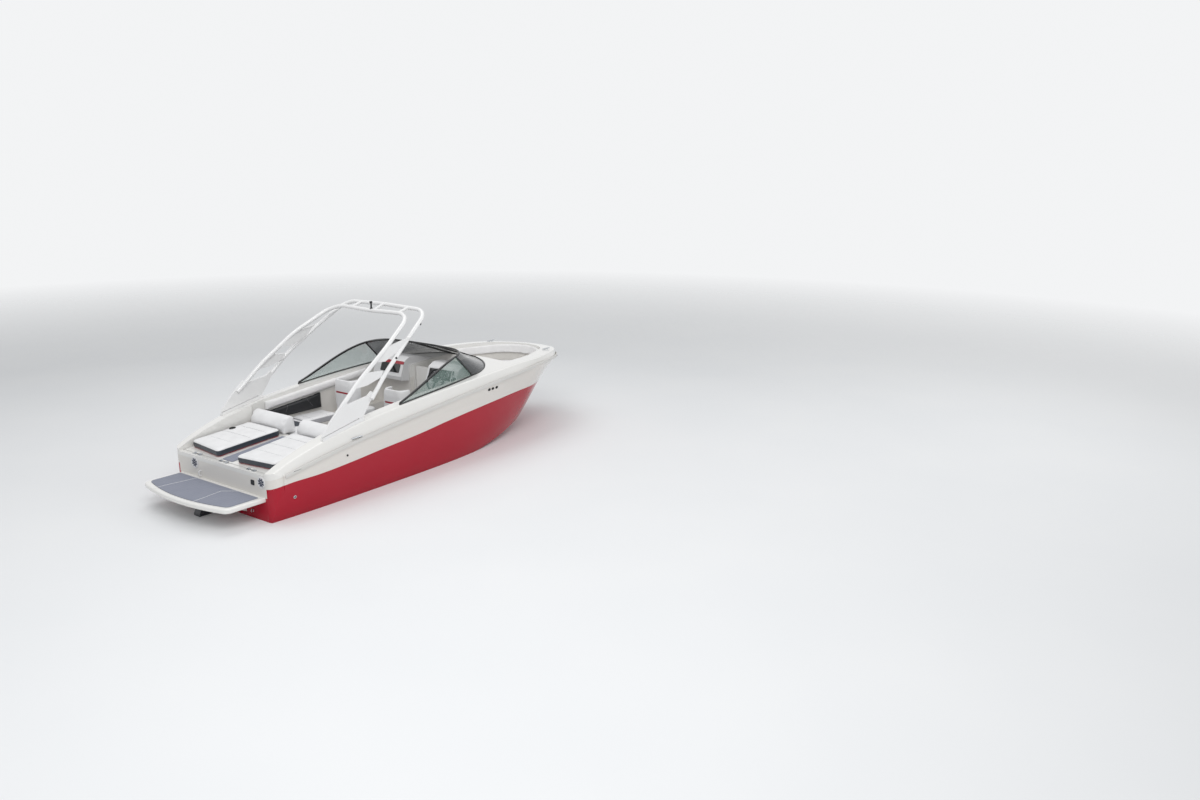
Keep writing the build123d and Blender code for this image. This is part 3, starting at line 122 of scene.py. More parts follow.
def moulded(name, code, rough=0.25, tone=0.05, tone_scale=1.7, grain=0.0, grain_scale=900,
            coat=0.0):
    """Painted, moulded or cast surface: soft changes of tone, uneven gloss and a fine grain.

    The grain is about 1.1 mm or more, coarser than a real one, so that it shows.
    """
    made, tree, coords = begin(name)
    base = linear(code)
    clouds = put(tree, "TexNoise", {"Vector": coords, "Scale": tone_scale, "Detail": 3.0})
    colour = put(tree, "Mix", {0: clouds, 6: shade(base, 1 - tone), 7: shade(base, 1 + tone * 0.6)},
                 2, data_type="RGBA")
    patches = put(tree, "TexNoise", {"Vector": coords, "Scale": tone_scale * 7, "Detail": 5})
    gloss = put(tree, "MapRange", {0: patches, 1: 0.3, 2: 0.7, 3: rough - 0.03, 4: rough + 0.03})
    waves = put(tree, "TexNoise", {"Vector": coords, "Scale": 9, "Detail": 1})
    normal = put(tree, "Bump", {"Height": waves, "Strength": 0.05, "Distance": 0.004})
    if grain:
        pits = put(tree, "TexNoise", {"Vector": coords, "Scale": grain_scale, "Detail": 2})
        normal = put(tree, "Bump", {"Height": pits, "Strength": grain, "Distance": 0.0004,
                                    "Normal": normal})
    inputs = {"Base Color": colour, "Roughness": gloss, "Normal": normal, "Coat Weight": coat}
    if coat:
        inputs["Coat Roughness"] = 0.05
    finish(tree, inputs)
    return made


VINYL_ROUGH = 0.42


def hide_grain(tree, coords, crease_coords, rough):
    """Shader inputs for grained marine vinyl: pebbles over faint creases.

    The pebbles are about 1.6 mm across, coarser than real ones, so that they show.
    """
    pebbles = put(tree, "TexVoronoi", {"Vector": coords, "Scale": 620.0}, "Distance")
    creases = put(tree, "TexNoise", {"Vector": crease_coords, "Scale": 11, "Detail": 3})
    normal = put(tree, "Bump", {"Height": creases, "Strength": 0.18, "Distance": 0.006})
    normal = put(tree, "Bump", {"Height": pebbles, "Strength": 0.35, "Distance": 0.0005,
                                "Normal": normal})
    patches = put(tree, "TexNoise", {"Vector": coords, "Scale": 40, "Detail": 4})
    gloss = put(tree, "MapRange", {0: patches, 1: 0.3, 2: 0.7, 3: rough - 0.05, 4: rough + 0.07})
    return {"Roughness": gloss, "Normal": normal, "Sheen Weight": 0.08}


def vinyl(name, code, rough=VINYL_ROUGH):
    """Vinyl of one colour, a little darker in patches."""
    made, tree, coords = begin(name)
    base = linear(code)
    clouds = put(tree, "TexNoise", {"Vector": coords, "Scale": 6, "Detail": 4})
    share = put(tree, "MapRange", {0: clouds, 1: 0.35, 2: 0.65, 3: 0, 4: 1})
    colour = put(tree, "Mix", {0: share, 6: shade(base, 0.94), 7: base}, 2, data_type="RGBA")
    crease_coords = put(tree, "Mapping", {"Vector": coords, "Scale": (1, 1, 2)})
    finish(tree, {"Base Color": colour, **hide_grain(tree, coords, crease_coords, rough)})
    return made


def half_spaces(tree, coords, planes):
    """1 where a place is on the normal's side of all the planes."""
    share = None
    for point, normal in planes:
        along = put(tree, "VectorMath", {0: coords, 1: normal}, "Value", operation="DOT_PRODUCT")
        level = Vector(point).dot(Vector(normal))
        past = put(tree, "MapRange", {0: along, 1: level - 0.0008, 2: level + 0.0008, 3: 0, 4: 1})
        share = past if share is None else put(tree, "Math", {0: share, 1: past},
                                               operation="MINIMUM")
    return share


def panelled(name, code, zones):
    """Vinyl sewn from panels of several colours, each panel bounded by planes. A zone may also be
    painted shade, such as the grey on the lower sides of cushions.
    """
    made, tree, coords = begin(name)
    clouds = put(tree, "TexNoise", {"Vector": coords, "Scale": 6, "Detail": 4})
    tone = put(tree, "MapRange", {0: clouds, 1: 0.35, 2: 0.65, 3: 0.93, 4: 1.0})
    colour = linear(code)
    for zone_code, planes in zones:
        colour = put(tree, "Mix", {0: half_spaces(tree, coords, planes), 6: colour,
                                   7: linear(zone_code)}, 2, data_type="RGBA")
    colour = put(tree, "Mix", {0: 1.0, 6: colour, 7: tone}, 2, data_type="RGBA",
                 blend_type="MULTIPLY")
    finish(tree, {"Base Color": colour, **hide_grain(tree, coords, coords, VINYL_ROUGH)})
    return made


def metal(name, code="C9CCD0", rough=0.14, stretch=(1, 60, 60)):
    """Polished or brushed metal: fine draw lines, along which its gloss changes."""
    made, tree, coords = begin(name)
    base = linear(code)
    drawn = put(tree, "Mapping", {"Vector": coords, "Scale": stretch})
    lines = put(tree, "TexNoise", {"Vector": drawn, "Scale": 30, "Detail": 4})
    finish(tree, {
        "Base Color": put(tree, "Mix", {0: lines, 6: shade(base, 0.82), 7: base}, 2,
                          data_type="RGBA"),
        "Roughness": put(tree, "MapRange", {0: lines, 1: 0.3, 2: 0.7, 3: rough, 4: rough + 0.12}),
        "Normal": put(tree, "Bump", {"Height": lines, "Strength": 0.06, "Distance": 0.0004}),
        "Metallic": 1.0,
    })
    return made


def pane(name, code, alpha):
    """Tinted screen glass: see-through, with a sharp reflection and faint smears."""
    made, tree, coords = begin(name)
    base = linear(code)
    clouds = put(tree, "TexNoise", {"Vector": coords, "Scale": 1.2, "Detail": 2})
    smears = put(tree, "TexNoise", {"Vector": coords, "Scale": 14, "Detail": 4})
    finish(tree, {
        "Base Color": put(tree, "Mix", {0: clouds, 6: shade(base, 0.8), 7: base}, 2,
                          data_type="RGBA"),
        "Roughness": put(tree, "MapRange", {0: smears, 1: 0.35, 2: 0.75, 3: 0.015, 4: 0.06}),
        "Alpha": alpha, "Specular IOR Level": 0.75, "Coat Weight": 0.6, "Coat Roughness": 0.02,
    })
    return made


def deck_foam(name, code, pitch):
    """Foam deck mat: brushed matt face, with grooves that part it into lengthwise planks."""
    made, tree, coords = begin(name)
    base = linear(code)
    split = put(tree, "SeparateXYZ", {0: coords}, None).outputs
    plank = put(tree, "Math", {0: split[1], 1: pitch / 2}, operation="PINGPONG")
    groove = put(tree, "MapRange", {0: plank, 1: 0.0, 2: 0.0022, 3: 0, 4: 1})
    brushed = put(tree, "Mapping", {"Vector": coords, "Scale": (1, 3, 1)})
    streaks = put(tree, "TexNoise", {"Vector": brushed, "Scale": 260, "Detail": 4})
    face = put(tree, "Mix", {0: streaks, 6: shade(base, 0.86), 7: base}, 2, data_type="RGBA")
    # painted shade: the grooves get 0.55 of the mat's colour, for the shade that falls in them
    colour = put(tree, "Mix", {0: groove, 6: shade(base, 0.55), 7: face}, 2, data_type="RGBA")
    cells = put(tree, "TexNoise", {"Vector": coords, "Scale": 700, "Detail": 3})
    normal = put(tree, "Bump", {"Height": cells, "Strength": 0.4, "Distance": 0.0006})
    normal = put(tree, "Bump", {"Height": groove, "Strength": 0.5, "Distance": 0.002,
                                "Normal": normal})
    wear = put(tree, "TexNoise", {"Vector": coords, "Scale": 5, "Detail": 3.0})
    gloss = put(tree, "MapRange", {0: wear, 1: 0.3, 2: 0.7, 3: 0.72, 4: 0.88})
    finish(tree, {"Base Color": colour, "Roughness": gloss, "Normal": normal})
    return made


# places along the boat and heights of the edge between the two hull colours, in metres
PAINT_LINE = [(0.0, 0.473), (0.25, 0.528), (0.73, 0.543), (1.25, 0.579), (1.81, 0.628),
              (2.63, 0.692), (3.28, 0.765), (4.0, 0.826), (4.55, 0.853), (5.2, 0.865),
              (6.2, 0.855), (7.1, 0.84)]
PAINT_SPAN = 7.2        # length that the curve's 0 to 1 stands for

# opposite corners of the spaces whose walls are white inside: the cockpit, the passage,
# the bow well, the engine bay and the transom's face
WHITE_WALLS = [
    ((1.25, -1.065, 0.29), (3.91, 1.065, 2)),
    ((3.88, -0.285, 0.39), (5.06, 0.285, 2)),
    ((5.0, -0.30, 0.59), (5.97, 0.30, 2)),
    ((0.2, -0.53, -0.24), (1.18, 0.53, 2)),
    ((-0.1, -1.03, 0.34), (0.004, 1.03, 2)),
]


def inside(tree, split, low, high):
    """1 within a box."""
    share = None
    for place, a, b in zip(split, low, high):
        within = put(tree, "Math", {0: place, 1: (a + b) / 2, 2: (b - a) / 2},
                     operation="COMPARE")
        share = within if share is None else put(tree, "Math", {0: share, 1: within},
                                                 operation="MULTIPLY")
    return share


def hull_paint(name):
    """Two gelcoats, deep and glossy, that meet on a line climbing towards the bow."""
    made, tree, coords = begin(name)
    split = put(tree, "SeparateXYZ", {0: coords}, None).outputs
    along = put(tree, "Math", {0: split[0], 1: PAINT_SPAN}, operation="DIVIDE")
    curve = put(tree, "FloatCurve", {1: along}, None)
    points = curve.mapping.curves[0].points
    while len(points) < len(PAINT_LINE):
        points.new(0.5, 0.5)
    for point, (x, z) in zip(points, PAINT_LINE):
        point.location = (x / PAINT_SPAN, z)
    curve.mapping.update()
    above = put(tree, "Math", {0: split[2], 1: curve.outputs[0]}, operation="SUBTRACT")
    share = put(tree, "MapRange", {0: above, 1: -0.0015, 2: 0.0015, 3: 0, 4: 1})
    for low, high in WHITE_WALLS:
        share = put(tree, "Math", {0: share, 1: inside(tree, split, low, high)},
                    operation="MAXIMUM")
    tones = []
    for code, scale, dark in (("AE132B", 1.3, 0.86), ("DFDCD7", 1.1, 0.955)):
        base = linear(code)
        clouds = put(tree, "TexNoise", {"Vector": coords, "Scale": scale, "Detail": 3.0})
        tones.append(put(tree, "Mix", {0: clouds, 6: shade(base, dark), 7: base}, 2,
                         data_type="RGBA"))
    body = put(tree, "Mix", {0: share, 6: tones[0], 7: tones[1]}, 2, data_type="RGBA")
    # hull a little darker towards the bottom, below 0.1 m, close to the floor
    low_darkening = put(tree, "MapRange", {0: split[2], 1: -0.02, 2: 0.1, 3: 0.8, 4: 1.0})
    colour = put(tree, "Mix", {0: low_darkening, 6: linear("5A1420"), 7: body}, 2, data_type="RGBA")
    patches = put(tree, "TexNoise", {"Vector": coords, "Scale": 8, "Detail": 5})
    gloss = put(tree, "MapRange", {0: patches, 1: 0.3, 2: 0.7, 3: 0.09, 4: 0.17})
    waves = put(tree, "TexNoise", {"Vector": coords, "Scale": 3.0, "Detail": 1})
    normal = put(tree, "Bump", {"Height": waves, "Strength": 0.06, "Distance": 0.006})
    finish(tree, {"Base Color": colour, "Roughness": gloss, "Normal": normal,
                  "Coat Weight": 0.05, "Coat Roughness": 0.04, "Specular IOR Level": 0.3})
    return made


MAT = {
    # sprayed gelcoat: deep gloss over faint waves
    "hull": hull_paint("hull_gelcoat"),
    "gel": moulded("deck_gelcoat", "E6E5E2", 0.16, 0.035, 1.3, coat=0.4),
    # painted aluminium and painted mouldings: clean gloss, even tone
    "tower": moulded("tower_paint", "E8E8E8", 0.2, 0.03, 2.2, coat=0.35),
    "dash": moulded("dash_red", "A3182B", 0.2, 0.06, 3, coat=0.4),
    "pod": moulded("pod_white", "DCDCDD", 0.3, 0.04, 3, 0.15),
    "black": moulded("black_paint", "141416", 0.3, 0.1, 6, 0.15),
    # extruded vinyl: soft sheen, light grain
    "rail": moulded("rail_vinyl", "D2D1CE", 0.4, 0.05, 5, 0.2),
    # moulded plastics: grained and half matt, or a polished clear face
    "plastic": moulded("black_plastic", "1A1B1E", 0.5, 0.1, 8, 0.35),
    "petal": moulded("grille_blue", "1B2740", 0.4, 0.1, 12),
    "screen": moulded("instrument_face", "0B0C10", 0.08, 0.2, 20, coat=0.8),
    # painted shade: a near-black face set in vents, outlets and cup holders, for the shade inside
    # their openings
    "opening_shade": moulded("painted_opening_shade", "0A0A0C", 0.8, 0.1, 9),
    # cured sealant and polyester thread: matt
    "line": moulded("sealant_line", "6E6E70", 0.6, 0.1, 12),
    "stitch": moulded("stitch_thread", "8E8F93", 0.7, 0.1, 200),
    # cast and painted metal: coarse skin under the paint
    "cast": moulded("engine_paint", "2A2C30", 0.45, 0.15, 7, 0.5, 250),
    "drive": moulded("drive_paint", "33353A", 0.35, 0.12, 6, 0.25, 400),
    # stainless steel, polished on the fittings and ground on the propellers
    "steel": metal("stainless"),
    "prop": metal("prop_steel", "B9B4AA", 0.2, (1, 8, 8)),
    "side_glass": pane("side_glass_tint", "7F9A92", 0.34),
    # front panes: real tint, with a painted reflection on top: darker and less see-through than the
    # side glass, for the dark reflections they show
    "front_glass": pane("front_glass_tint_painted_dark", "2A3136", 0.62),
    "mat": deck_foam("foam_mat", "8B8F9D", 0.07),
    "sole": deck_foam("sole_mat", "9A9CA4", 0.09),
    "white": vinyl("vinyl_white", "E9E9EA"),
    "leather": vinyl("wheel_leather", "1B1C1F", 0.55),
}

CAD_LOOK = {
    "hull": ["hull"],
    "gel": ["deck", "swim_platform", "engine_hatch", "door_jambs", "walkway_door"],
    "rail": ["rub_rail"],
    "mat": ["platform_mat", "walkway_tread"],
    "sole": ["cockpit_mat"],
    "pod": ["helm_console", "companion_console"],
    "black": ["windscreen_frame", "centre_window_frame"],
    "side_glass": ["side_glass"],
    "front_glass": ["front_glass", "centre_window_glass"],
    "tower": ["tower", "tower_feet"],
    "plastic": ["tower_light"],
    "steel": ["hatch_hinges", "seat_pedestals", "cleats", "tow_eyes", "trim_rods"],
    "cast": ["engine"],
    "drive": ["transom_shield", "gimbal_ring", "drive_leg", "trim_barrels"],
    "leather": ["steering_wheel"],
    "prop": ["front_propeller", "rear_propeller"],
}
for look, nodes in CAD_LOOK.items():
    for node in nodes:
        NODES[node].data.materials.clear()
        NODES[node].data.materials.append(MAT[look])

# Building helpers


def mesh_object(name, bm, *mats, smooth=True):
    data = bpy.data.meshes.new(name)
    bm.normal_update()
    bm.to_mesh(data)
    bm.free()
    for m in mats:
        data.materials.append(MAT[m])
    if smooth:
        data.shade_smooth()
    return link(bpy.data.objects.new(name, data))


def done(obj, body):
    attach(obj, body)
    return obj


def applied(obj):
    """An object's mesh as its modifiers leave it."""
    graph = bpy.context.evaluated_depsgraph_get()
    return bpy.data.meshes.new_from_object(obj.evaluated_get(graph))


def bake(obj):
    """Applies an object's modifiers to its mesh."""
    data = applied(obj)
    obj.modifiers.clear()
    old = obj.data
    obj.data = data
    bpy.data.meshes.remove(old)


TREES = {}


def surface(node):
    """Search tree of a CAD node's mesh."""
    if node not in TREES:
        bm = bmesh.new()
        bm.from_mesh(NODES[node].data)
        bm.transform(NODES[node].matrix_world)
        TREES[node] = BVHTree.FromBMesh(bm)
        bm.free()
    return TREES[node]


def beside(x, z, side, node="hull"):
    """Point and normal of a node's outer face at a place along the boat, port for side 1."""
    hit = surface(node).ray_cast(Vector((x, side * 3.0, z)), Vector((0, -side, 0)))
    return (hit[0], hit[1]) if hit[0] else (None, None)


def frame_at(origin, normal, along):
    """Matrix with Z on the normal and X as near to along as it can be."""
    z = Vector(normal).normalized()
    x = Vector(along)
    x = (x - z * x.dot(z)).normalized()
    y = z.cross(x)
    m = Matrix((x, y, z)).transposed().to_4x4()
    m.translation = Vector(origin)
    return m


CORNER_STEPS = 6


def rounded(points, radius):
    """Closed outline with its corners rounded."""
    out = []
    count = len(points)
    for i in range(count):
        a, b, c = (Vector(points[(i + k) % count]) for k in (-1, 0, 1))
        back, ahead = (a - b), (c - b)
        angle = back.angle(ahead)
        reach = min(radius / tan(angle / 2), back.length * 0.45, ahead.length * 0.45)
        p, q = b + back.normalized() * reach, b + ahead.normalized() * reach
        for k in range(CORNER_STEPS + 1):
            t = k / CORNER_STEPS
            out.append(p * (1 - t) ** 2 + b * 2 * t * (1 - t) + q * t * t)
    return out


def box_outline(length, width, radius=0.006):
    half_l, half_w = length / 2, width / 2
    corners = [(-half_l, -half_w), (half_l, -half_w), (half_l, half_w), (-half_l, half_w)]
    return rounded(corners, radius)


def oval(length, width, steps=28):
    """Outline of an ellipse."""
    turns = [2 * pi * k / steps for k in range(steps)]
    return [Vector((length / 2 * cos(turn), width / 2 * sin(turn))) for turn in turns]


def tube(name, points, radius, mat, smooth=True, sides=8):
    """Round bar through points, or along a curve that they pull on where it is smooth."""
    data = bpy.data.curves.new(name, "CURVE")
    data.dimensions = "3D"
    data.bevel_depth = radius
    data.bevel_resolution = max(1, sides // 4)
    data.use_fill_caps = True
    spline = data.splines.new("NURBS" if smooth else "POLY")
    spline.points.add(len(points) - 1)
    for p, co in zip(spline.points, points):
        p.co = (*co, 1)
    if smooth:
        spline.order_u = 3
        spline.use_endpoint_u = True
        spline.resolution_u = 4
    obj = link(bpy.data.objects.new(name, data))
    mesh = applied(obj)
    bpy.data.objects.remove(obj)
    mesh.materials.clear()
    mesh.materials.append(MAT[mat])
    mesh.shade_smooth()
    mesh.name = name
    return link(bpy.data.objects.new(name, mesh))


def slab(name, outline, thick, matrix, mats, bevel=0.0, segments=3):
    """Flat plate from an outline in a matrix's XY plane; its face may have its own material."""
    bm = bmesh.new()
    low = [bm.verts.new((p[0], p[1], 0)) for p in outline]
    high = [bm.verts.new((p[0], p[1], thick)) for p in outline]
    bm.faces.new(list(reversed(low)))
    top = bm.faces.new(high)
    count = len(outline)
    for i in range(count):
        j = (i + 1) % count
        bm.faces.new((low[i], low[j], high[j], high[i]))
    if bevel:
        bmesh.ops.bevel(bm, geom=list(top.edges), offset=bevel, segments=segments,
                        profile=0.5, affect="EDGES")
    if len(mats) > 1:
        for f in bm.faces:
            on_top = f.normal.z > 0.98 and f.calc_center_median().z > thick * 0.9
            f.material_index = 1 if on_top else 0
    bmesh.ops.recalc_face_normals(bm, faces=bm.faces)
    bm.transform(matrix)
    return mesh_object(name, bm, *mats, smooth=False)


def lathe(name, profile, matrix, mats, steps=24, picks=None):
    """Surface of revolution about the matrix's Z, from (radius, height) points."""
    bm = bmesh.new()
    turns = [2 * pi * k / steps for k in range(steps)]
    rings = []
    for r, h in profile:
        if r < 1e-6:
            rings.append([bm.verts.new((0, 0, h))])
        else:
            rings.append([bm.verts.new((r * cos(turn), r * sin(turn), h)) for turn in turns])
    for i, (a, b) in enumerate(zip(rings, rings[1:])):
        for k in range(steps):
            j = (k + 1) % steps
            loop = [a[k % len(a)], a[j % len(a)], b[j % len(b)], b[k % len(b)]]
            loop = [v for n, v in enumerate(loop) if v not in loop[:n]]
            if len(loop) > 2:
                f = bm.faces.new(loop)
                f.material_index = picks[i] if picks else 0
    bmesh.ops.recalc_face_normals(bm, faces=bm.faces)
    bm.transform(matrix)
    return mesh_object(name, bm, *mats)


def join(name, objs):
    """One object from several, keeping their materials."""
    bm = bmesh.new()
    mats = []
    for o in objs:
        data = o.data.copy()
        data.transform(o.matrix_world)
        picks = []
        for m in data.materials:
            if m not in mats:
                mats.append(m)
            picks.append(mats.index(m))
        before = len(bm.faces)
        bm.from_mesh(data)
        bm.faces.ensure_lookup_table()
        for f in bm.faces[before:]:
            f.material_index = picks[min(f.material_index, len(picks) - 1)]
        bpy.data.meshes.remove(data)
    for o in objs:
        bpy.data.objects.remove(o)
    data = bpy.data.meshes.new(name)
    bm.to_mesh(data)
    bm.free()
    for m in mats:
        data.materials.append(m)
    return link(bpy.data.objects.new(name, data))


# Soft goods: each pad grows from the space of its CAD solid, all swell in one simulation


def read_floats(source, key, count):
    values = np.empty(count * 3)
    source.foreach_get(key, values)
    return values.reshape(-1, 3)


def places(data):
    return read_floats(data.vertices, "co", len(data.vertices))


def normals(data):
    return read_floats(data.vertex_normals, "vector", len(data.vertices))


def set_places(data, values):
    data.vertices.foreach_set("co", values.ravel())
    data.update()


def middle(bm):
    return sum((v.co for v in bm.verts), Vector()) / len(bm.verts)


def solids(node):
    """A CAD node's separate solids, as meshes in their places, from aft and starboard."""
    whole = bmesh.new()
    whole.from_mesh(NODES[node].data)
    bmesh.ops.remove_doubles(whole, verts=whole.verts, dist=1e-5)
    whole.verts.ensure_lookup_table()
    left, groups = set(whole.verts), []
    while left:
        stack, group = [left.pop()], set()
        while stack:
            v = stack.pop()
            group.add(v)
            for e in v.link_edges:
                other = e.other_vert(v)
                if other in left:
                    left.discard(other)
                    stack.append(other)
        groups.append(group)
    meshes = []
    for group in groups:
        bm = bmesh.new()
        new = {v: bm.verts.new(v.co) for v in group}
        for f in whole.faces:
            if f.verts[0] in group:
                bm.faces.new([new[v] for v in f.verts])
        meshes.append(bm)
    whole.free()
    meshes.sort(key=lambda bm: (round(middle(bm).x, 2), middle(bm).y))
    return meshes


SOFT = []
PAD_GRID = 1.15         # factor on every pad's voxel size
PAD_PRESSURE = 4.0
CLOTH_FRAMES = 20


def foam(name, source, look, body, voxel, shrink, cap, rest, rounding):
    """Padded form grown from a solid's own space; settle() swells it.

    It stays flat towards rest, and cap is the furthest that a point may move.
    """
    obj = mesh_object(name, source, look)
    remesh = obj.modifiers.new("remesh", "REMESH")
    remesh.mode = "VOXEL"
    remesh.voxel_size = voxel * PAD_GRID
    bake(obj)
    bm = bmesh.new()
    bm.from_mesh(obj.data)
    for _ in range(rounding):
        bmesh.ops.smooth_vert(bm, verts=bm.verts, factor=0.5,
                              use_axis_x=True, use_axis_y=True, use_axis_z=True)
    bm.normal_update()
    bm.to_mesh(obj.data)
    bm.free()
    down = np.array(Vector(rest).normalized())
    move = -normals(obj.data) * shrink
    away = np.minimum(move @ down, 0)
    set_places(obj.data, places(obj.data) + move - away[:, None] * down)
    SOFT.append((obj, cap, down))
    return done(obj, body)


def settle():
    """Swells every pad by a short cloth simulation and keeps the result in its mesh."""
    scene = bpy.context.scene
    before = [places(obj.data) for obj, _, _ in SOFT]
    for obj, _, _ in SOFT:
        cloth = obj.modifiers.new("cloth", "CLOTH")
        cloth.settings.quality = 4
        cloth.settings.use_pressure = True
        cloth.settings.uniform_pressure_force = PAD_PRESSURE
        cloth.settings.effector_weights.gravity = 0
        cloth.point_cache.frame_end = CLOTH_FRAMES
    for frame_number in range(1, CLOTH_FRAMES + 1):
        scene.frame_set(frame_number)
    for obj, _, _ in SOFT:
        bake(obj)
    scene.frame_set(1)
    for (obj, cap, down), start_at in zip(SOFT, before):
        move = places(obj.data) - start_at
        length = np.linalg.norm(move, axis=1)
        move *= (np.minimum(length, cap) / np.maximum(length, 1e-9))[:, None]
        into = np.maximum(move @ down, 0)
        move -= into[:, None] * down
        set_places(obj.data, start_at + move)
        obj.data.shade_smooth()


THREADS = {}
THREAD_RADIUS = 0.0012
THREAD_STEP = 0.015
SEAM_WIDTH = 0.007


def dense(points):
    """The same line with points at most a thread step apart."""
    points = [Vector(p) for p in points]
    out = [points[0]]
    for a, b in zip(points, points[1:]):
        count = max(1, ceil((b - a).length / THREAD_STEP))
        out += [a.lerp(b, (k + 1) / count) for k in range(count)]
    return out


def seam(obj, body, lines, way, depth=0.004):
    """Sewn channels: presses the pad in along lines cast onto it, and lays a thread in each."""
    bm = bmesh.new()
    bm.from_mesh(obj.data)
    caster = BVHTree.FromBMesh(bm)
    bm.free()
    way = Vector(way).normalized()
    runs = []
    for line in lines:
        run = []
        for p in dense(line):
            hit = caster.ray_cast(p - way * 0.4, way, 0.8)[0]
            if hit:
                run.append(hit)
        if len(run) > 3:
            runs.append(run)
    p, n = places(obj.data), normals(obj.data)
    best = np.full(len(p), 1e9)
    for run in runs:
        q = np.array([tuple(v) for v in run])
        for a, b in zip(q, q[1:]):
            ab = b - a
            t = np.clip((p - a) @ ab / max(ab @ ab, 1e-12), 0, 1)
            best = np.minimum(best, np.linalg.norm(p - a - t[:, None] * ab, axis=1))
    set_places(obj.data, p - n * (depth * np.exp(-(best / SEAM_WIDTH) ** 2))[:, None])
    for run in runs:
        sunk = [v + way * (depth - THREAD_RADIUS) for v in run]
        thread = tube("thread", sunk, THREAD_RADIUS, "stitch", smooth=False, sides=4)
        THREADS.setdefault(body, []).append(thread)


def sew_up():
    """Joins the threads of each body into one piece."""
    for body, parts in THREADS.items():
        done(join("stitching_" + body, parts), body)


# Pads

HATCH_SLOPE = radians(5.2)
HATCH_O = Vector((0.080, 0, 0.662))
HATCH_X = Vector((cos(HATCH_SLOPE), 0, sin(HATCH_SLOPE)))
HATCH_Z = Vector((-sin(HATCH_SLOPE), 0, cos(HATCH_SLOPE)))
SEAT_X, SEAT_Y = 2.960, 0.590
WHITE, CHARCOAL, RED = "E9E9EA", "2B323C", "8E1529"


def on_hatch(u, v, h=0.0):
    """Place from distances up the hatch's slope, to port and off its face."""
    return HATCH_O + HATCH_X * u + Vector((0, v, 0)) + HATCH_Z * h


# plane under which a cushion's lower sides are painted grey: painted shade
def below(height):
    return [((0, 0, height), (0, 0, -1))]


MAT["sunpad"] = panelled("vinyl_sunpad", WHITE, [
    (CHARCOAL, [(on_hatch(0, 0, 0.089), -HATCH_Z)]),
    (RED, [(on_hatch(0, 0, 0.017), -HATCH_Z)]),
])
MAT["bench"] = panelled("vinyl_bench", WHITE, [
    (CHARCOAL, [((1.80, side * 0.30, 0), (-0.55, side * 0.84, 0)),
                ((1.80, side * 0.30, 0), (0.62, side * 0.78, 0)),
                ((1.83, 0, 0), (-1, 0, 0)),
                ((0, side * 0.86, 0), (0, -side, 0))]) for _, side in SIDES
# painted shade: light grey on the bench's lower sides, below 0.728 m
] + [("B9B9BC", below(0.728))])
# painted shade: light grey on the lounge cushions' lower sides, below 0.726 m
MAT["lounge"] = panelled("vinyl_lounge", WHITE, [("B4B4B8", below(0.726))])
MAT["band"] = panelled("vinyl_band", "14161A", [])
MAT["bolster"] = panelled("vinyl_bolster", "EBEAEA", [])
# painted shade: grey on the bow seat's lower sides, below 0.985 m
MAT["bow_seat"] = panelled("vinyl_bow_seat", WHITE, [("A6A7AB", below(0.985))])
for seat_name, side in SEATS:
    y = side * SEAT_Y
    MAT[seat_name] = panelled("vinyl_" + seat_name, WHITE, [
        # painted shade: grey on the seat's lower sides, below 0.668 m
        ("9FA1A6", below(0.668)),
        ("A0162A", [((0, 0, 1.052), (0, 0, 1)), ((0, 0, 1.082), (0, 0, -1)),
                    ((0, y - 0.15, 0), (0, 1, 0)), ((0, y + 0.15, 0), (0, -1, 0)),
                    ((SEAT_X - 0.21, 0, 0), (-1, 0, 0))]),
        ("2A2D33", [((0, 0, 1.225), (0, 0, 1)),
                    ((0, y - 0.125, 0), (0, 1, 0)), ((0, y + 0.125, 0), (0, -1, 0)),
                    ((SEAT_X - 0.225, 0, 0), (1, 0, 0))]),
    ])

OUTBOARD = None         # a pad that rests against the boat's side
# CAD node, its pieces from starboard to port, look, body, voxel size, shrink, cap, the way
# that it rests on what carries it, and passes of rounding
PADS = [
    ("sunpad_port", ["sunpad_port_cover"],
     "sunpad", "hatch", 0.014, 0.008, 0.013, -HATCH_Z, 4),
    ("sunpad_starboard", ["sunpad_starboard_cover"],
     "sunpad", "hatch", 0.014, 0.008, 0.013, -HATCH_Z, 4),
    ("aft_backrests", ["aft_backrest_starboard", "aft_backrest_port"],
     "white", "hatch", 0.015, 0.010, 0.016, DOWN, 7),
    ("bench_cushion", ["bench_pad"],
     "bench", "boat", 0.016, 0.008, 0.013, DOWN, 6),
    ("lounge_cushions", ["lounge_starboard", "lounge_port"],
     "lounge", "boat", 0.014, 0.008, 0.011, DOWN, 6),
    ("side_backrests", ["side_band_starboard", "side_band_port"],
     "band", "boat", 0.012, 0.005, 0.011, OUTBOARD, 4),
    ("coaming_bolsters", ["coaming_starboard", "coaming_port"],
     "bolster", "boat", 0.014, 0.008, 0.011, OUTBOARD, 6),
    ("bow_backrests", ["bow_backrest_starboard", "bow_backrest_port"],
     "bolster", "boat", 0.013, 0.008, 0.011, AFT, 6),
    ("bow_cushion", ["bow_seat_pad"],
     "bow_seat", "boat", 0.020, 0.008, 0.012, DOWN, 4),
    ("bow_bolster", ["bow_bolster_pad"],
     "bolster", "boat", 0.013, 0.006, 0.010, FORWARD, 5),
    ("helm_seat", ["helm_seat_cover"],
     "helm_seat", "helm_seat", 0.015, 0.009, 0.014, DOWN, 7),
    ("companion_seat", ["companion_seat_cover"],
     "companion_seat", "companion_seat", 0.015, 0.009, 0.014, DOWN, 7),
]
pads = {}
for node, names, look, body, voxel, shrink, cap, rest, rounding in PADS:
    for name, solid in zip(names, solids(node)):
        towards = rest
        if rest is OUTBOARD:
            towards = (0, -1 if name.endswith("starboard") else 1, 0)
        pads[name] = foam(name, solid, look, body, voxel, shrink, cap, towards, rounding)
    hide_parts(node)
settle()

# Sewn channels

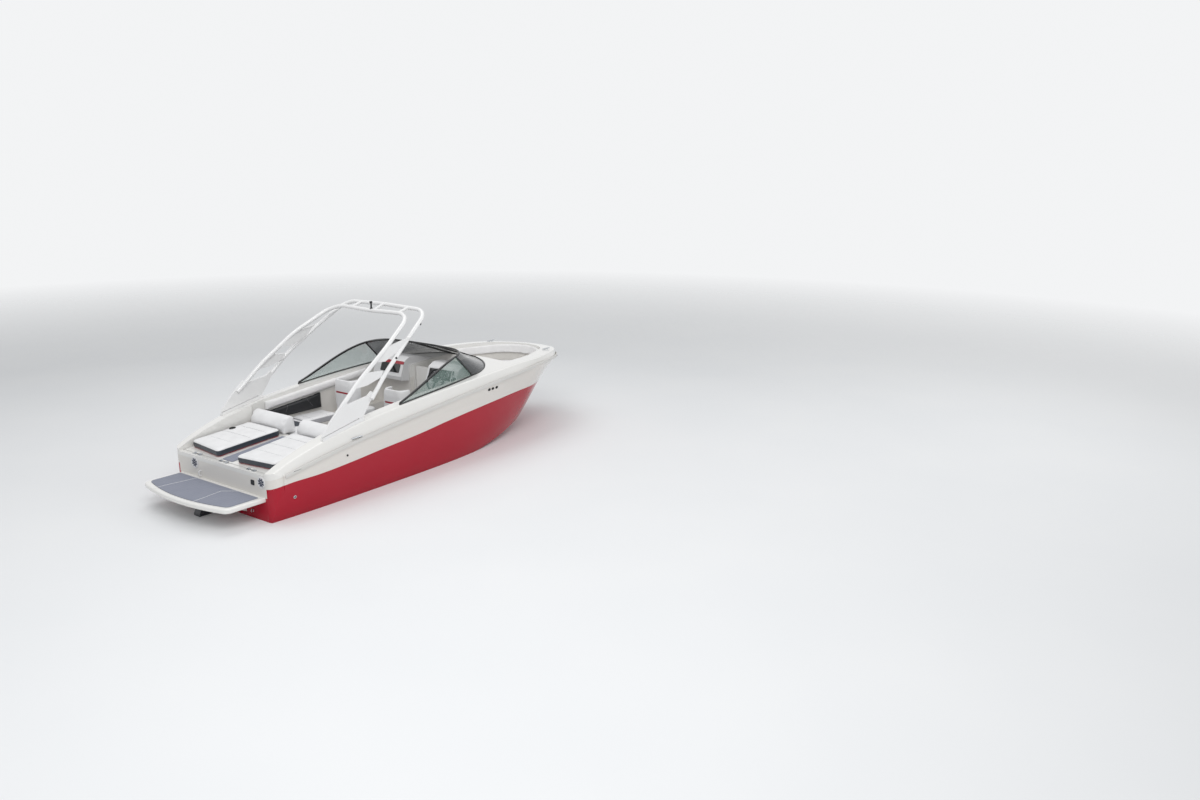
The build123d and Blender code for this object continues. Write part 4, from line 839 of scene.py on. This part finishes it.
for name, v_low, v_high in (("sunpad_port", 0.215, 0.995), ("sunpad_starboard", -0.995, -0.215)):
    lines = [[on_hatch(u, v_low, 0.3), on_hatch(u, v_high, 0.3)] for u in (0.34, 0.60, 0.86)]
    seam(pads[name + "_cover"], "hatch", lines, -HATCH_Z, depth=0.003)
seam(pads["bench_pad"], "boat",
     [[(1.36, y, 1.1), (1.80, y, 1.1)] for y in (-0.62, 0.0, 0.62)], DOWN)
BAND_SEAMS = [((1.924, 0.969), (1.874, 0.847)), ((2.264, 1.013), (2.404, 0.837))]
for side_name, side in SIDES:
    lines = [[(x, side * 0.64, 1.0), (x, side * 0.97, 1.0)] for x in (2.1, 2.4)]
    seam(pads["lounge_" + side_name], "boat", lines, DOWN, depth=0.003)
    lines = [[(x, side * 0.95, z) for x, z in line] for line in BAND_SEAMS]
    seam(pads["side_band_" + side_name], "boat", lines, (0, side, 0), depth=0.002)
lines = [[(x, side * 0.32, 1.3), (x, side * 0.8, 1.3)] for x in (5.30, 5.62) for _, side in SIDES]
seam(pads["bow_seat_pad"], "boat", lines, DOWN, depth=0.003)
for seat_name, side in SEATS:
    lines = [[(SEAT_X - 0.05, side * SEAT_Y + k, 1.4), (SEAT_X + 0.19, side * SEAT_Y + k, 1.4)]
             for k in (-0.12, 0.12)]
    seam(pads[seat_name + "_cover"], seat_name, lines, DOWN, depth=0.003)

# Fittings

SKIN = 0.0004           # how far a fitting stands off the face that it is set on
TRANSOM_X = -0.0006
SPEAKER_RADIUS, PETALS = 0.084, 8


def speaker(name, y, z):
    """Transom speaker: white ring, and a grille with dark petals round a cap."""
    r = SPEAKER_RADIUS
    seat = frame_at((TRANSOM_X, y, z), AFT, UP)
    ring = [(r, 0), (r, 0.005), (r * 0.93, 0.010), (r * 0.84, 0.006), (0, 0.006)]
    cap = [(r * 0.17, 0.006), (r * 0.15, 0.010), (0, 0.0115)]
    parts = [lathe(name, ring, seat, ["pod"], 40)]
    for k in range(PETALS):
        turn = Matrix.Rotation(2 * pi * (k + 0.5) / PETALS, 4, "Z")
        petal = seat @ turn @ Matrix.Translation((r * 0.50, 0, 0.0062))
        outline = oval(r * 0.56, r * 0.30, 20)
        parts.append(slab(name, outline, 0.0014, petal, ["petal"], 0.0004, 1))
    parts.append(lathe(name, cap, seat, ["petal"], 20))
    done(join(name, parts), "boat")


speaker("speaker_port", 0.631, 0.552)
speaker("speaker_starboard", -0.930, 0.552)
seat = frame_at((TRANSOM_X, -0.737, 0.521), AFT, UP)
done(slab("transom_remote", box_outline(0.07, 0.07), 0.009, seat, ["plastic"], 0.003),
     "boat")

HANDLE_Y, HANDLE_TOP, HANDLE_FOOT, HANDLE_CORNER = 0.495, 0.455, 0.385, 0.012
HANDLE_LINE = [(0.001, HANDLE_TOP), (-0.026, HANDLE_TOP), (-0.036, HANDLE_TOP - HANDLE_CORNER),
               (-0.036, HANDLE_FOOT + HANDLE_CORNER), (-0.026, HANDLE_FOOT), (0.001, HANDLE_FOOT)]
done(tube("transom_handle", [(x, HANDLE_Y, z) for x, z in HANDLE_LINE], 0.009, "pod"),
     "boat")

# white joints between the panels of the platform's mat
MAT_TOP = 0.3594
MAT_JOINTS = [((-0.69, -0.362), (-0.202, -0.281)), ((-0.202, -0.281), (-0.016, -0.538)),
              ((-0.69, 0.60), (-0.02, 0.50))]
strips = []
for a, b in MAT_JOINTS:
    run = Vector((b[0] - a[0], b[1] - a[1], 0))
    seat = frame_at(((a[0] + b[0]) / 2, (a[1] + b[1]) / 2, MAT_TOP - 0.001), UP, run)
    strips.append(slab("mat_joint", box_outline(run.length, 0.007, 0.002), 0.0016, seat, ["white"]))
done(join("mat_joints", strips), "boat")

# cup holders in the sunpads' outer forward corners
CUP_HOLDER = [(0.050, -0.006), (0.050, 0.004), (0.046, 0.007), (0.041, 0.005), (0.040, 0.002),
              (0, 0.002)]
for side_name, side in SIDES:
    place = Vector((0.805, side * 0.851, 0.0))
    up_slope = (place.x - HATCH_O.x) / HATCH_X.x
    seat = frame_at(on_hatch(up_slope, place.y, 0.121), HATCH_Z, HATCH_X)
    # the cup holder's middle is near-black: painted shade for its depth
    done(lathe("cup_holder_" + side_name, CUP_HOLDER, seat, ["plastic", "opening_shade"], 32,
               [0, 0, 0, 1, 1]), "hatch")

# vents and outlets in the topsides
VENT_Z = 1.085
for side_name, side in SIDES:
    parts = []
    for x in (4.205, 4.300, 4.405):
        at, normal = beside(x, VENT_Z, side)
        if at:
            seat = frame_at(at + normal * SKIN, normal, FORWARD)
            # the vent's face is near-black: painted shade in its openings
            parts.append(slab("vent", oval(0.066, 0.046), 0.006, seat, ["plastic", "opening_shade"], 0.0015))
    done(join("side_vents_" + side_name, parts), "boat")
for name, x, z, r, look, slot in (
    ("drain_outlet", 0.332, 0.307, 0.024, "steel", "stainless"),
    ("bilge_outlet", 1.201, 0.700, 0.016, "plastic", "rubber_black"),
):
    at, normal = beside(x, z, -1)
    seat = frame_at(at + normal * SKIN, normal, FORWARD)
    flange = [(r, 0), (r * 0.95, 0.005), (r * 0.62, 0.006), (r * 0.55, 0.001), (0, 0.001)]
    # the outlet's middle is near-black: painted shade inside the opening
    done(lathe(name, flange, seat, [look, "opening_shade"], 28, [0, 0, 0, 1]), "boat")

# thin grey line along the rub rail, on its outermost edge, from heights at places along it
RAIL_ROWS = [(0.0, 0.600), (0.6, 0.745), (1.5, 0.893), (3.0, 1.058), (4.3, 1.180), (5.3, 1.245),
             (6.1, 1.245), (6.65, 1.212), (6.95, 1.185)]
RAIL_LINE_RADIUS = 0.003


def rail_z(x):
    return float(np.interp(x, [row[0] for row in RAIL_ROWS], [row[1] for row in RAIL_ROWS]))


def evened(values):
    """Running mean over nine values that keeps both ends."""
    reach = 4
    padded = np.concatenate([[values[0]] * reach, values, [values[-1]] * reach])
    return np.convolve(padded, np.ones(2 * reach + 1) / (2 * reach + 1), "valid")


for side_name, side in SIDES:
    points = []
    for x in np.arange(0.30, 6.80, 0.05):
        tries = [beside(float(x), rail_z(x) + step * 0.003, side, "rub_rail")[0]
                 for step in range(-10, 11)]
        tries = [at for at in tries if at]
        if tries:
            points.append(max(tries, key=lambda at: abs(at.y)))
    heights, breadths = evened([at.z for at in points]), evened([at.y for at in points])
    line = [(at.x, y - side * RAIL_LINE_RADIUS, z) for at, y, z in zip(points, breadths, heights)]
    done(tube("rail_line_" + side_name, line[::2], RAIL_LINE_RADIUS, "line"),
         "boat")

# instruments on the aft faces of the dash pods, set into the slope behind the wheel
FACE_LOW, FACE_HIGH = Vector((3.700, 0, 1.185)), Vector((3.800, 0, 1.440))
FACE_UP = (FACE_HIGH - FACE_LOW).normalized()
FACE_OUT = FACE_UP.cross(Vector((0, 1, 0))).normalized()
if FACE_OUT.x > 0:
    FACE_OUT = -FACE_OUT
PORT = (0, 1, 0)
HELM_Y = -SEAT_Y


def on_face(y, share, lift=0.0005):
    """Place on the dash face, from its low edge for share 0 to its high edge for share 1."""
    return FACE_LOW.lerp(FACE_HIGH, share) + Vector((0, y, 0)) + FACE_OUT * lift


def panel(name, y, share, wide, tall, looks, bevel=0.003, thick=0.007):
    seat = frame_at(on_face(y, share), FACE_OUT, PORT)
    return slab(name, box_outline(wide, tall, 0.015), thick, seat, looks, bevel)


GAUGE = [(0.046, 0), (0.046, 0.005), (0.040, 0.006), (0.038, 0.002), (0, 0.002)]
SWITCHES, SWITCH_PITCH = 6, 0.05
parts = [panel("helm_panel", HELM_Y, 0.58, 0.50, 0.17, ["plastic", "screen"])]
for y in (-0.16, 0.16):
    seat = frame_at(on_face(HELM_Y + y, 0.60, 0.0075), FACE_OUT, PORT)
    parts.append(lathe("gauge", GAUGE, seat, ["steel", "screen"], 32, [0, 0, 0, 1]))
for k in range(SWITCHES):
    seat = frame_at(on_face(HELM_Y - 0.125 + SWITCH_PITCH * k, 0.13), FACE_OUT, PORT)
    outline = box_outline(0.030, 0.019, 0.003)
    parts.append(slab("switch", outline, 0.009, seat, ["plastic"], 0.003, 2))
done(join("helm_instruments", parts), "boat")
parts = [panel("companion_panel", SEAT_Y, 0.50, 0.46, 0.15, ["plastic", "screen"]),
         panel("companion_band", SEAT_Y, 0.88, 0.60, 0.052, ["dash"])]
done(join("companion_trim", parts), "boat")

# throttle beside the wheel
LEVER_Y, LEVER_FOOT = -0.925, 0.30
parts = [panel("throttle_base", LEVER_Y, LEVER_FOOT, 0.075, 0.13, ["plastic"], 0.010, 0.022)]
foot = on_face(LEVER_Y, LEVER_FOOT, 0.022)
knee = foot + FACE_OUT * 0.03
grip = foot + FACE_OUT * 0.03 + FACE_UP * 0.115
parts.append(tube("lever", [foot, knee, grip], 0.007, "steel"))
parts.append(tube("grip", [grip - FACE_UP * 0.02, grip + FACE_UP * 0.045], 0.014, "plastic",
                  smooth=False, sides=12))
done(join("throttle", parts), "boat")

# socket caps on the outside of the tower's aft and forward hoops
SOCKET_CAP = [(0.017, 0), (0.017, 0.008), (0.013, 0.011), (0, 0.012)]
for side, ending in ((1, ""), (-1, "_starboard")):
    for name, x, z in (("tower_socket_aft", 2.309, 1.917), ("tower_socket_fwd", 2.965, 2.324)):
        at, normal = beside(x, z, side, "tower")
        if at:
            seat = frame_at(at + normal * SKIN, normal, FORWARD)
            done(lathe(name + ending, SOCKET_CAP, seat, ["plastic"], 24), "tower")

sew_up()

# Floor and light


def floor_paint():
    """Pale floor that thins out far away, where the world's colour takes over."""
    made, tree, coords = begin("studio_floor")
    clouds = put(tree, "TexNoise", {"Vector": coords, "Scale": 0.4, "Detail": 2})
    tone = put(tree, "Mix", {0: clouds, 6: linear("E6E8EA"), 7: linear("ECEDEE")}, 2,
               data_type="RGBA")
    grit = put(tree, "TexNoise", {"Vector": coords, "Scale": 30, "Detail": 3})
    normal = put(tree, "Bump", {"Height": grit, "Strength": 0.05, "Distance": 0.002})
    far = put(tree, "VectorMath", {0: coords}, "Value", operation="LENGTH")
    alpha = put(tree, "MapRange", {0: far, 1: 12, 2: 30, 3: 1, 4: 0})
    finish(tree, {"Base Color": tone, "Roughness": 0.9, "Normal": normal,
                  "Specular IOR Level": 0.1, "Alpha": alpha})
    return made


MAT["floor"] = floor_paint()
bm = bmesh.new()
bmesh.ops.create_grid(bm, x_segments=8, y_segments=8, size=60)
mesh_object("studio_floor", bm, "floor")

# strengths of the world's light on the boat, and where the camera, metal or glass sees it
WORLD_LIGHT, WORLD_SEEN = 0.56, 0.97
world = bpy.data.worlds.new("studio")
bpy.context.scene.world = world
world.use_nodes = True
tree = world.node_tree
tree.nodes.clear()
rays = put(tree, "LightPath", out=None).outputs
seen = put(tree, "Math", {0: rays["Is Glossy Ray"], 1: rays["Is Transmission Ray"]},
           operation="MAXIMUM")
seen = put(tree, "Math", {0: rays["Is Camera Ray"], 1: seen}, operation="MAXIMUM")
strength = put(tree, "MapRange", {0: seen, 1: 0, 2: 1, 3: WORLD_LIGHT, 4: WORLD_SEEN})
sky = put(tree, "Background", {0: linear("F6F7F8"), 1: strength})
put(tree, "OutputWorld", {0: sky}, None)

# name, place, what it points at, size, and power in watts
LAMPS = [
    ("key", (-5, -9, 11), (3, 0, 0.6), (9, 7), 860),
    ("fill", (12, -10, 8), (4, 0, 0.6), (9, 6), 300),
    ("top", (3, 3, 12), (3, 0, 0.6), (10, 8), 420),
]
for name, place, target, size, power in LAMPS:
    data = bpy.data.lights.new(name, "AREA")
    data.shape = "RECTANGLE"
    data.size, data.size_y = size
    data.energy = power
    obj = link(bpy.data.objects.new(name, data))
    obj.location = place
    obj.rotation_euler = (Vector(target) - Vector(place)).to_track_quat("-Z", "Y").to_euler()
